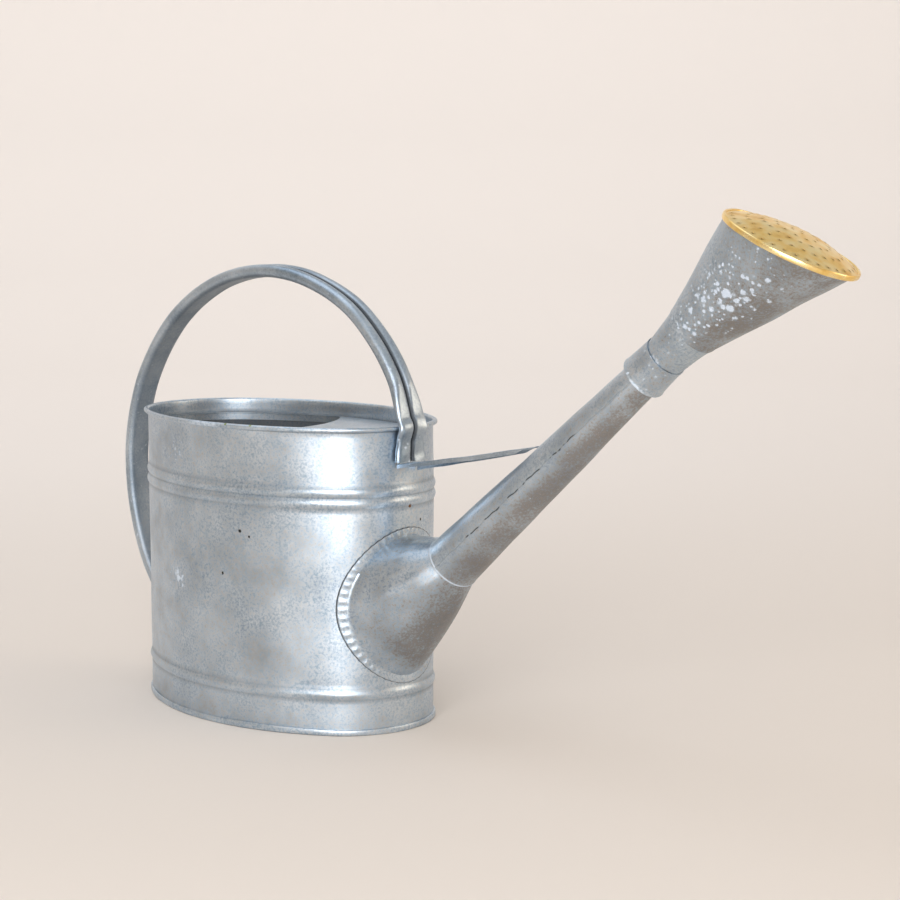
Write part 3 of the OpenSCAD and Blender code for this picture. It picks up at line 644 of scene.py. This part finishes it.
cone = sheet("rose_cone_rolled", cone_grid(0), cone_grid(SHEET), wrap_cols=True)
near_side, at_neck = rose_mark(cone_u, 0.48, 0.42, -57, 44), rose_mark(cone_u, 0.08, 0.12, -80, 60)
paint(cone, "bloom", 1.3 * near_side + 0.5 * at_neck)
paint(cone, "crust_and_glint", 0.5 * rose_mark(cone_u, 0.03, 0.08, -60, 60))
# Painted shade on the cone's lower side, laid on as brown patches.
paint(cone, "dirt_and_shade", rose_mark(0 * cone_u, 0, 1, -12, 48))
short_long = face_station(CREASE_R, np.array([math.pi, 0])) - NECK_TO
print("cone's short and long side", np.round(short_long, 1).tolist())

# %% [markdown]
# ## The brass face
# The face is a thin brass disc, pressed into a low dome and pierced in rings, held by a rolled brass edge.
# Real holes are cut by laying the face out flat: the hole outlines and a field of points between them are
# joined into triangles, the triangles inside holes are dropped, and the rest is lifted onto the dome. A cone
# cut at a slant has an oval edge, whose half axes follow from the tilt and the flare.
# %% The face's frame
FACE_OUT = ALONG * math.cos(FACE_TILT) - DOWN * math.sin(FACE_TILT)
FACE_DOWN = DOWN * math.cos(FACE_TILT) + ALONG * math.sin(FACE_TILT)
FACE_MID = FOOT + FACE_AT * ALONG
EDGE_OUT, DOME = 0.85, 10.5
edge_r = CREASE_R + (FACE_AT - NECK_TO) * FLARE + EDGE_OUT
reach_up = edge_r / (math.cos(FACE_TILT) + FLARE * math.sin(FACE_TILT))
reach_down = edge_r / (math.cos(FACE_TILT) - FLARE * math.sin(FACE_TILT))
HALF_A, SHIFT = (reach_up + reach_down) / 2, (reach_down - reach_up) / 2
mid_r = edge_r + SHIFT * math.sin(FACE_TILT) * FLARE
HALF_B = math.sqrt(mid_r**2 - (SHIFT * math.cos(FACE_TILT)) ** 2)


def face_point(x, y, z):
    """A point in the face's own frame: x towards its long side, y across, z outwards."""
    x, y, z = (value[..., None] for value in np.broadcast_arrays(x, y, z))
    return FACE_MID + (x + SHIFT) * FACE_DOWN + y * ACROSS + z * FACE_OUT


def face_oval(count):
    """Points of the face's oval edge, evenly spaced in angle, as (x, y) pairs, and their angles."""
    turn = np.linspace(0, 2 * math.pi, count, endpoint=False)
    return np.stack([HALF_A * np.cos(turn), HALF_B * np.sin(turn)], -1), turn


print("face half axes", round(HALF_A, 1), round(HALF_B, 1))

# %% The holes and the points between them
HOLE_R, RING, PITCH = 0.95, 10.1, 8.5
EDGE_POINTS, HOLE_POINTS = 180, 12
holes = []
for ring in range(5):
    radius = (ring + 0.5) * RING
    count = round(2 * math.pi * radius / PITCH)
    turn = 2 * math.pi * (np.arange(count) + 0.5 * (ring % 2)) / count
    holes.append(np.stack([radius * np.cos(turn) * HALF_A / HALF_B, radius * np.sin(turn)], -1))
holes = np.vstack(holes)
print("spray holes", len(holes))


def to_nearest_hole(x, y):
    """The distance in mm to the middle of the nearest hole, on the flat face."""
    return np.min(np.linalg.norm(np.stack([x, y], -1)[:, None] - holes[None], axis=2), axis=1)


def inside_edge(x, y, margin):
    """Whether points lie inside the face's oval edge, by a margin in mm."""
    return (x / (HALF_A - margin)) ** 2 + (y / (HALF_B - margin)) ** 2 < 1


outline = face_oval(EDGE_POINTS)[0]
circle_turn = np.linspace(0, 2 * math.pi, HOLE_POINTS, endpoint=False)
circles = holes[:, None] + HOLE_R * np.stack([np.cos(circle_turn), np.sin(circle_turn)], -1)[None]
across, down = np.meshgrid(np.arange(-22, 23), np.arange(-26, 27))
field = np.stack([2.6 * across + 1.3 * (down % 2), 2.25 * down], -1).reshape(-1, 2)
field = field[inside_edge(*field.T, 1.2) & (to_nearest_hole(*field.T) > HOLE_R + 0.8)]
flat = np.vstack([outline, circles.reshape(-1, 2), field])
print("points on the flat face", len(flat))

# %% The pierced dome
loops = [np.arange(EDGE_POINTS)]
loops += [EDGE_POINTS + HOLE_POINTS * i + np.arange(HOLE_POINTS) for i in range(len(holes))]
edges = [(int(a), int(b)) for loop in loops for a, b in zip(loop, np.roll(loop, -1))]
made = delaunay_2d_cdt([Vector(p) for p in flat.tolist()], edges, [], 0, 1e-5)
flat, tris = np.array([list(v) for v in made[0]]), np.array([list(f) for f in made[2]])
middle = flat[tris].mean(1)
tris = tris[(to_nearest_hole(*middle.T) > HOLE_R * 0.98) & inside_edge(*middle.T, 0)]


def dome_height(x, y):
    """Height of the dome: falls from the middle to the oval edge with the square of the distance, and each
    hole has a small raised lip where the punch came through."""
    share = (x / HALF_A) ** 2 + (y / HALF_B) ** 2
    lip = 0.35 * np.exp(-((to_nearest_hole(x, y) / 2.0) ** 2))
    return 0.3 + DOME * (1 - share) + lip + ripple(x, y, 30, 0.25, 61)


top = face_point(flat[:, 0], flat[:, 1], dome_height(flat[:, 0], flat[:, 1]))
directed = np.vstack([tris[:, [0, 1]], tris[:, [1, 2]], tris[:, [2, 0]]])
_, first, times = np.unique(np.sort(directed, axis=1), axis=0, return_index=True, return_counts=True)
start, end = directed[first[times == 1]].T
below = len(flat)
walls = [np.stack([end, start, start + below], -1), np.stack([end, start + below, end + below], -1)]
dome_faces = np.vstack([tris, tris[:, ::-1] + below] + walls)
dome_points = np.vstack([top, top - SHEET * FACE_OUT])
face = make_mesh("rose_face_pierced", dome_points, facing_out(dome_points, dome_faces), smooth_below=50)
# Painted shade: the edges of the holes are painted dark brown, so the holes read darker.
paint(face, "gap", 0.3 * (to_nearest_hole(*flat.T) < HOLE_R + 0.1))
print("triangles of the face", len(dome_faces))

# %% The rolled brass edge
band_wide, band_tall = rounded_box(np.radians(np.linspace(0, 360, 20, endpoint=False)), 1.25, 2.3, 0.8)
band_out, band_z = 0.75 - EDGE_OUT + band_wide, -0.5 + band_tall
edge_xy, edge_turn = face_oval(300)
normal = edge_xy / [HALF_A**2, HALF_B**2]
normal /= np.linalg.norm(normal, axis=1)[:, None]
ring_xy = edge_xy[:, None] + band_out[None, :, None] * normal[:, None]
ring_z = band_z[None] + ring_ripple(edge_turn, 0, 52, 40, 0.12, 62)[:, None]
band = loop_sweep("rose_edge_rolled", face_point(ring_xy[..., 0], ring_xy[..., 1], ring_z), smooth_below=60)
print("band points", ring_z.shape)

# %% [markdown]
# ## Colours and nodes
# Colours are written as sRGB hex and turned to linear light by one function. One more function adds a node
# with its settings and its links, which keeps each material readable from top to bottom.
# %% Colour and node helpers
def colour(code):
    """sRGB hex to linear RGBA: c / 12.92 below 0.04045, and ((c + 0.055) / 1.055)^2.4 above."""
    parts = np.array([int(code[i:i + 2], 16) for i in (1, 3, 5)]) / 255
    linear = np.where(parts <= 0.04045, parts / 12.92, ((parts + 0.055) / 1.055) ** 2.4)
    return (*linear.tolist(), 1.0)


def add(material, kind, settings=None, links=None):
    """Adds one node, of the kind ShaderNode + kind. Settings with an attribute's name set it, others set an
    input; links feed inputs from (node, output) pairs."""
    tree = material.node_tree
    node = tree.nodes.new("ShaderNode" + kind)
    for key, value in (settings or {}).items():
        if isinstance(key, str) and hasattr(node, key):
            setattr(node, key, value)
        else:
            node.inputs[key].default_value = value
    for key, (source, output) in (links or {}).items():
        tree.links.new(source.outputs[output], node.inputs[key])
    return node


def ramp(node, stops):
    """Sets a colour ramp's stops from (position, grey or colour) pairs."""
    elements = node.color_ramp.elements
    while len(elements) < len(stops):
        elements.new(0.5)
    for element, (place, value) in zip(elements, stops):
        element.position = place
        element.color = value if isinstance(value, tuple) else (value, value, value, 1)
    return node


def start_material(name):
    """A material with an empty node tree, and its Object coordinates turned from metres to millimetres, so
    that a pattern's scale is one over its size in mm."""
    material = bpy.data.materials.new(name)
    material.use_nodes = True
    material.node_tree.nodes.clear()
    place = add(material, "TexCoord")
    return material, add(material, "Mapping", {"Scale": (1000, 1000, 1000)}, {"Vector": (place, "Object")})


print("zinc grey is", np.round(colour("#B9C2C9"), 3).tolist())

# %% [markdown]
# ## Weathered galvanised steel
# Hot-dip zinc starts bright, with a spangle of crystals a few millimetres wide. Years outdoors turn it to a
# dull blue-grey, with brown grime in the mottling and chalky white bloom where water stood. It stays a
# metal, so highlights are broad and soft. The patches come from noise in real millimetres, and the numbers
# painted on each piece say where there is more brown dirt, which on some undersides is painted shade, more
# bloom, more white crust, which on one edge is a painted highlight, and near-black painted shade.
# %% Chalky spots and small flaws
SPOT_MM = (7.5, 3.6)


def chalky_spots(material, in_mm, mottle, level):
    """A mask of round spots of two sizes. Each cell of a cell pattern holds one spot, which reaches as far
    from the cell's point as a random share of the level, and the mottle makes its edge ragged."""
    ragged = add(material, "Math", {"operation": "MULTIPLY_ADD", 1: 0.9, 2: -0.45}, {0: (mottle, 0)})
    masks = []
    for spot_mm in SPOT_MM:
        cells = add(material, "TexVoronoi", {"Scale": 1 / spot_mm, "Randomness": 1.0}, {"Vector": (in_mm, 0)})
        chance = add(material, "SeparateColor", {}, {0: (cells, "Color")})
        share = add(material, "Math", {"operation": "MULTIPLY_ADD", 1: 0.66, 2: -0.10}, {0: (chance, 0)})
        reach = add(material, "Math", {"operation": "MULTIPLY"}, {0: (share, 0), 1: (level, 0)})
        edge = add(material, "Math", {"operation": "ADD"}, {0: (reach, 0), 1: (ragged, 0)})
        inside = add(material, "Math", {"operation": "SUBTRACT"}, {0: (edge, 0), 1: (cells, "Distance")})
        masks.append(add(material, "MapRange", {1: -0.02, 2: 0.12}, {0: (inside, 0)}))
    return add(material, "Math", {"operation": "MAXIMUM"}, {0: (masks[0], 0), 1: (masks[1], 0)})


def small_flaws(material, in_mm, mottle, ground, flaws):
    """Lays single flaws, such as pits, over the ground colour: each is where the distance from its point,
    made ragged by the mottle, is below about its radius."""
    for point, radius, tone in flaws:
        away = add(material, "VectorMath", {"operation": "DISTANCE", 1: point}, {0: (in_mm, 0)})
        ragged = add(material, "Math", {"operation": "MULTIPLY_ADD", 1: 3.0 * radius},
                     {0: (mottle, 0), 2: (away, "Value")})
        inside = add(material, "MapRange", {1: 2.8 * radius, 2: 2.2 * radius}, {0: (ragged, 0)})
        ground = add(material, "Mix", {"data_type": "RGBA", 7: colour(tone)},
                     {0: (inside, 0), 6: (ground, 2)})
    return ground


print("spots about", SPOT_MM, "mm apart")

# %% The galvanised material
def galvanised(name, light, dark, dirt_and_shade=0.3, spots=0.0, rough=0.38, grain=0.5, dirt_and_shade_tone="#85807A", flaws=()):
    """Zinc on steel, in object space: clouding about 55 mm across, a fine mottle of 2 mm, brown grime in
    patches of 30 mm broken up by the mottle, which on some undersides is painted shade, chalky spots, white
    crust, near-black painted shade, and a relief with a 0.8 mm grain. Flaws are given as a point in mm, a
    radius in mm and a colour."""
    material, in_mm = start_material(name)
    cloud, mottle, patch, fine = (
        add(material, "TexNoise", {"Scale": 1 / mm, "Detail": detail, "Roughness": keep},
            {"Vector": (in_mm, 0)})
        for mm, detail, keep in ((55, 4.0, 0.55), (2.2, 6.0, 0.7), (30, 6.0, 0.62), (0.8, 2.0, 0.5)))
    dirt_and_shade_part, bloom_part, crust_and_glint_part, gap_part = (
        add(material, "Attribute", {"attribute_name": part}) for part in ("dirt_and_shade", "bloom", "crust_and_glint", "gap"))

    cloud_ramp = ramp(add(material, "ValToRGB", {}, {0: (cloud, 0)}), [(0.34, 0.0), (0.66, 1.0)])
    zinc = add(material, "Mix", {"data_type": "RGBA", 6: colour(dark), 7: colour(light)},
               {0: (cloud_ramp, 0)})
    mottle_grey = ramp(add(material, "ValToRGB", {}, {0: (mottle, 0)}), [(0.40, 0.25), (0.62, 0.78)])
    mottled = add(material, "Mix", {"data_type": "RGBA", "blend_type": "OVERLAY", 0: grain},
                  {6: (zinc, 2), 7: (mottle_grey, 0)})

    # The painted dirt number raises the brown patches: stains on the wall and the boot, and painted shade on
    # the undersides of the boot, the tube and the cone.
    patch_sum = add(material, "Math", {"operation": "MULTIPLY_ADD", 1: 0.5}, {0: (patch, 0), 2: (mottle, 0)})
    patch_more = add(material, "Math", {"operation": "MULTIPLY_ADD", 1: 0.22},
                     {0: (dirt_and_shade_part, "Fac"), 2: (patch_sum, 0)})
    patch_mask = ramp(add(material, "ValToRGB", {}, {0: (patch_more, 0)}), [(0.76, 0.0), (1.06, 1.0)])
    dirt_and_shade_mask = add(material, "Math", {"operation": "MULTIPLY", 1: dirt_and_shade, "use_clamp": True},
                     {0: (patch_mask, 0)})
    dirt_and_shade_mixed = add(material, "Mix", {"data_type": "RGBA", 7: colour(dirt_and_shade_tone)},
                {0: (dirt_and_shade_mask, 0), 6: (mottled, 2)})

    spot_level = add(material, "Math", {"operation": "ADD", 1: spots}, {0: (bloom_part, "Fac")})
    spot_mask = chalky_spots(material, in_mm, mottle, spot_level)
    # The painted crust number turns edges white: old solder and zinc, and on the tube's lower edge a painted
    # highlight.
    crust_and_glint_sum = add(material, "Math", {"operation": "MULTIPLY_ADD", 1: 0.45},
                    {0: (crust_and_glint_part, "Fac"), 2: (mottle, 0)})
    crust_and_glint_mask = ramp(add(material, "ValToRGB", {}, {0: (crust_and_glint_sum, 0)}), [(0.72, 0.0), (0.92, 0.9)])
    white = add(material, "Math", {"operation": "MAXIMUM"}, {0: (spot_mask, 0), 1: (crust_and_glint_mask, 0)})
    bloomed = add(material, "Mix", {"data_type": "RGBA", 7: colour("#C9D5E3")},
                  {0: (white, 0), 6: (dirt_and_shade_mixed, 2)})
    # Painted shade: where the painted shade number is high, the colour goes near black.
    shaded = add(material, "Mix", {"data_type": "RGBA", 7: colour("#17191C")},
                 {0: (gap_part, "Fac"), 6: (bloomed, 2)})
    final = small_flaws(material, in_mm, mottle, shaded, flaws)

    # Painted shade and white chalk both make the zinc less metallic and rougher.
    dull = add(material, "Math", {"operation": "MAXIMUM"}, {0: (white, 0), 1: (gap_part, "Fac")})
    metal = add(material, "MapRange", {3: 1.0, 4: 0.25}, {0: (dull, 0)})
    rough_zinc = add(material, "Math", {"operation": "MULTIPLY_ADD", 1: 0.14, 2: rough - 0.07},
                     {0: (cloud, 0)})
    rough_dirt_and_shade = add(material, "Math", {"operation": "MULTIPLY_ADD", 1: 0.18},
                     {0: (dirt_and_shade_mask, 0), 2: (rough_zinc, 0)})
    rough_all = add(material, "Math", {"operation": "MULTIPLY_ADD", 1: 0.28, "use_clamp": True},
                    {0: (dull, 0), 2: (rough_dirt_and_shade, 0)})
    height = add(material, "Math", {"operation": "MULTIPLY_ADD", 1: 0.8}, {0: (mottle, 0), 2: (fine, 0)})
    raised = add(material, "Math", {"operation": "MULTIPLY_ADD", 1: 1.2}, {0: (white, 0), 2: (height, 0)})
    relief = add(material, "Bump", {"Strength": 0.16, "Distance": 0.00025}, {"Height": (raised, 0)})
    shader = add(material, "BsdfPrincipled", {}, {
        "Base Color": (final, 2), "Metallic": (metal, 0), "Roughness": (rough_all, 0), "Normal": (relief, 0)})
    add(material, "OutputMaterial", {}, {"Surface": (shader, 0)})
    return material


print("galvanised finish ready")

# %% [markdown]
# ## Six galvanised finishes
# All the zinc pieces share one material, set to how each has aged and to the painted shade it carries. The
# handle is rubbed darker by hands, the boot and the spout hold brown stains and are painted darker below as
# painted shade, the rose is chalky, and what is inside is darker zinc, as painted shade. The body has a few
# flaws of its own: dark pits, one small rust-brown spot and two greenish specks on its rim.
# %% The finishes of the zinc pieces
PIT, DEEP_PIT, RUST = "#2B2D30", "#222326", "#7A5538"
body_flaws = [((*oval(math.radians(turn), off).tolist(), z), radius, tone) for turn, off, z, radius, tone in (
    (-77.8, 0, 176, 1.6, PIT), (-75.2, 0, 171.5, 1.1, PIT), (-83.2, 0, 136.5, 1.3, "#33353A"),
    (13.5, 0, 185.5, 1.2, DEEP_PIT), (2.2, 0, 199, 1.5, RUST),
    (-81, 2.6, 269.5, 1.1, "#8B9A4E"), (-74, 2.6, 269.5, 1.2, "#93A055"))]
zinc_body = galvanised(
    "galvanised_weathered_sheet", "#CAD6E1", "#B4C2CF", dirt_and_shade=0.55, grain=0.65, flaws=body_flaws)
zinc_boot = galvanised(
    "galvanised_raised_boot", "#CAD6E1", "#B2C0CD", dirt_and_shade=0.75, rough=0.36, grain=0.65, dirt_and_shade_tone="#7A7168")
zinc_handle = galvanised(
    "galvanised_worn_handle", "#C4D0DB", "#94A5B5", dirt_and_shade=0.3, spots=0.35, rough=0.34, grain=0.3)
zinc_spout = galvanised(
    "galvanised_stained_shaded_spout", "#C6D1DB", "#A8B7C4", dirt_and_shade=0.7, spots=0.18, dirt_and_shade_tone="#82766A")
zinc_rose = galvanised(
    "galvanised_bloomed_rose", "#C4CFD9", "#ADBCC8", dirt_and_shade=0.75, rough=0.42, dirt_and_shade_tone="#857A6E")
# Painted shade: the inside finish is darker zinc, for the bottom plate and the wire inside the can.
zinc_shaded_inside = galvanised("galvanised_shaded_inside", "#87939C", "#6C7983", dirt_and_shade=0.6, rough=0.5)
print("galvanised materials", 6, "flaws on the body", len(body_flaws))

# %% [markdown]
# ## Brass
# The face and its edge are thin brass, rolled and pressed, and rubbed bright on the high places. The edges of
# its holes are painted dark brown, as painted shade. Brass is a strong yellow metal with a fairly tight
# highlight.
# %% The brass material
def brass(name, rough):
    """Yellow brass: tarnish about 14 mm across and scuffs about 1 mm, in object space, and painted shade in
    dark brown at the holes.
    """
    material, in_mm = start_material(name)
    tarnish, scuff = (
        add(material, "TexNoise", {"Scale": 1 / mm, "Detail": detail}, {"Vector": (in_mm, 0)})
        for mm, detail in ((14, 4.0), (1.2, 3.0)))
    tarnish_ramp = ramp(add(material, "ValToRGB", {}, {0: (tarnish, 0)}),
                        [(0.35, colour("#FFE9AE")), (0.58, colour("#FBD684")), (0.78, colour("#E0AE50"))])
    hole_shade = add(material, "Attribute", {"attribute_name": "gap"})
    brass_with_hole_shade = add(material, "Mix", {"data_type": "RGBA", 7: colour("#6E4C1C")},
                {0: (hole_shade, "Fac"), 6: (tarnish_ramp, 0)})
    rough_all = add(material, "Math", {"operation": "MULTIPLY_ADD", 1: 0.22, 2: rough - 0.1},
                    {0: (tarnish, 0)})
    relief = add(material, "Bump", {"Strength": 0.12, "Distance": 0.0003}, {"Height": (scuff, 0)})
    shader = add(material, "BsdfPrincipled", {"Metallic": 1.0}, {
        "Base Color": (brass_with_hole_shade, 2), "Roughness": (rough_all, 0), "Normal": (relief, 0)})
    add(material, "OutputMaterial", {}, {"Surface": (shader, 0)})
    return material


brass_face = brass("brass_pressed_face", 0.32)
brass_edge = brass("brass_rolled_edge", 0.28)
print("brass materials", 2)

# %% [markdown]
# ## Dress the pieces
# Each new piece takes a material, rides on the body that carries it, and stands in for its plain node. The
# nodes that are kept, the deck, the hidden wire and the hidden sleeve, only take a finish.
# %% Materials, bodies and replaced nodes
def dress(piece, material, body_name, node_slot, *nodes):
    """Gives a piece its finish and ties it to its body and the nodes it stands for. The record slot is not
    used.
    """
    piece.data.materials.append(material)
    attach(piece, body_name)
    if nodes:
        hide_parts(*nodes)


dress(body, zinc_body, "can", "zinc", "body_wall")
dress(foot, zinc_body, "can", "zinc", "base_pan")
# The bottom plate takes the darker inside finish, which is painted shade.
dress(bottom, zinc_shaded_inside, "can", "zinc")
dress(handle, zinc_handle, "can", "zinc_dark", "handle_strap")
dress(boot, zinc_boot, "can", "zinc", "spout_boot")
dress(tube, zinc_spout, "can", "zinc", "spout_tube")
dress(brace, zinc_handle, "can", "zinc", "brace_strip")
dress(collar, zinc_spout, "rose", "zinc", "rose_collar")
dress(neck, zinc_rose, "rose", "zinc", "rose_neck")
dress(cone, zinc_rose, "rose", "zinc", "rose_cone")
dress(face, brass_face, "rose", "brass", "rose_face")
dress(band, brass_edge, "rose", "brass", "rose_band")
for node, material in (("deck_plate", zinc_body), ("rim_wire", zinc_shaded_inside), ("spout_ferrule", zinc_spout)):
    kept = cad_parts[node]
    kept.data.materials.clear()
    kept.data.materials.append(material)
print("pieces dressed", 12)

# %% [markdown]
# ## Floor, light and camera
# The can stands on a plain pale floor that rises far away into a wall all round, so the metal has something
# soft to reflect. One large soft light, like a window, stands on the camera's side and does most of the work.
# A weaker warm one stands to the right, a third hangs above, and a fourth is turned to the far wall, so that
# the ground behind the can is pale. The camera is about 2 m away and looks down by 7 degrees.
# %% The floor
floor_r = np.array([0.001, 300, 900, 2200, 2900, 3400, 3800, 4050, 4150, 4200])
floor_z = np.array([0, 0, 0, 0, 60, 260, 620, 1150, 1900, 3200.0]) - 0.05
rings, turns = np.meshgrid(floor_r, np.linspace(0, 2 * math.pi, 97), indexing="ij")
levels = np.broadcast_to(floor_z[:, None], rings.shape)
floor_points = np.stack([rings * np.cos(turns), rings * np.sin(turns), levels], -1).reshape(-1, 3)
floor = make_mesh("floor", floor_points, quads(np.arange(rings.size).reshape(rings.shape)), 80)
floor_paint = bpy.data.materials.new("matt_pale_paper")
floor_paint.use_nodes = True
floor_shader = floor_paint.node_tree.nodes["Principled BSDF"]
floor_shader.inputs["Base Color"].default_value = colour("#E6DED6")
floor_shader.inputs["Roughness"].default_value = 0.9
floor.data.materials.append(floor_paint)
print("floor radius", floor_r[-1], "mm")

# %% The lights
def soft_light(name, azimuth, height, distance, size, power, tint, aim=(0.1, 0, 0.18)):
    """A soft light, with its width and height in metres, that faces the can or another aim. It stands at an
    azimuth in degrees (0 is +X, 90 is +Y), a height and a distance in metres."""
    data = bpy.data.lights.new(name, "AREA")
    data.shape, data.size, data.size_y = "RECTANGLE", size[0], size[1]
    data.energy, data.color = power, colour(tint)[:3]
    lamp = bpy.data.objects.new(name, data)
    turn = math.radians(azimuth)
    place = Vector((distance * math.cos(turn), distance * math.sin(turn), height))
    facing = (Vector(aim) - place).to_track_quat("-Z", "Y").to_matrix().to_4x4()
    lamp.matrix_world = Matrix.Translation(place) @ facing
    bpy.context.scene.collection.objects.link(lamp)


soft_light("window_light", -52, 0.8, 2.7, (1.7, 1.9), 58, "#FEFEFF")
soft_light("warm_fill", 35, 1.0, 2.8, (1.2, 1.4), 12, "#FFEBD2")
soft_light("top_light", -150, 2.9, 0.9, (2.0, 2.0), 12, "#EEF4FF")
soft_light("backdrop_light", 139, 2.9, 1.6, (3.0, 1.2), 46, "#E8F1FF", (-3.3, 2.8, 1.0))
world = bpy.data.worlds.new("studio_air")
bpy.context.scene.world = world
world.use_nodes = True
world.node_tree.nodes["Background"].inputs["Color"].default_value = colour("#F4F3F1")
world.node_tree.nodes["Background"].inputs["Strength"].default_value = 0.66
bpy.context.scene.view_settings.view_transform = "Standard"

# %% The camera
CAMERA_PLACE, LENS_MM, SENSOR_MM = Vector((1.465986, -1.288769, 0.473148)), 85.27, 36
azimuth, tilt = math.radians(-45.7162), math.radians(6.9808)
camera_data = bpy.data.cameras.new("camera")
camera_data.lens, camera_data.sensor_width = LENS_MM, SENSOR_MM
camera = bpy.data.objects.new("camera", camera_data)
right = Vector((-math.sin(azimuth), math.cos(azimuth), 0))
back = Vector((math.cos(tilt) * math.cos(azimuth), math.cos(tilt) * math.sin(azimuth), math.sin(tilt)))
turned = Matrix((right, back.cross(right), back)).transposed().to_4x4()
camera.matrix_world = Matrix.Translation(CAMERA_PLACE) @ turned
bpy.context.scene.collection.objects.link(camera)
bpy.context.scene.camera = camera
print("camera at", np.round(camera.location, 3).tolist())
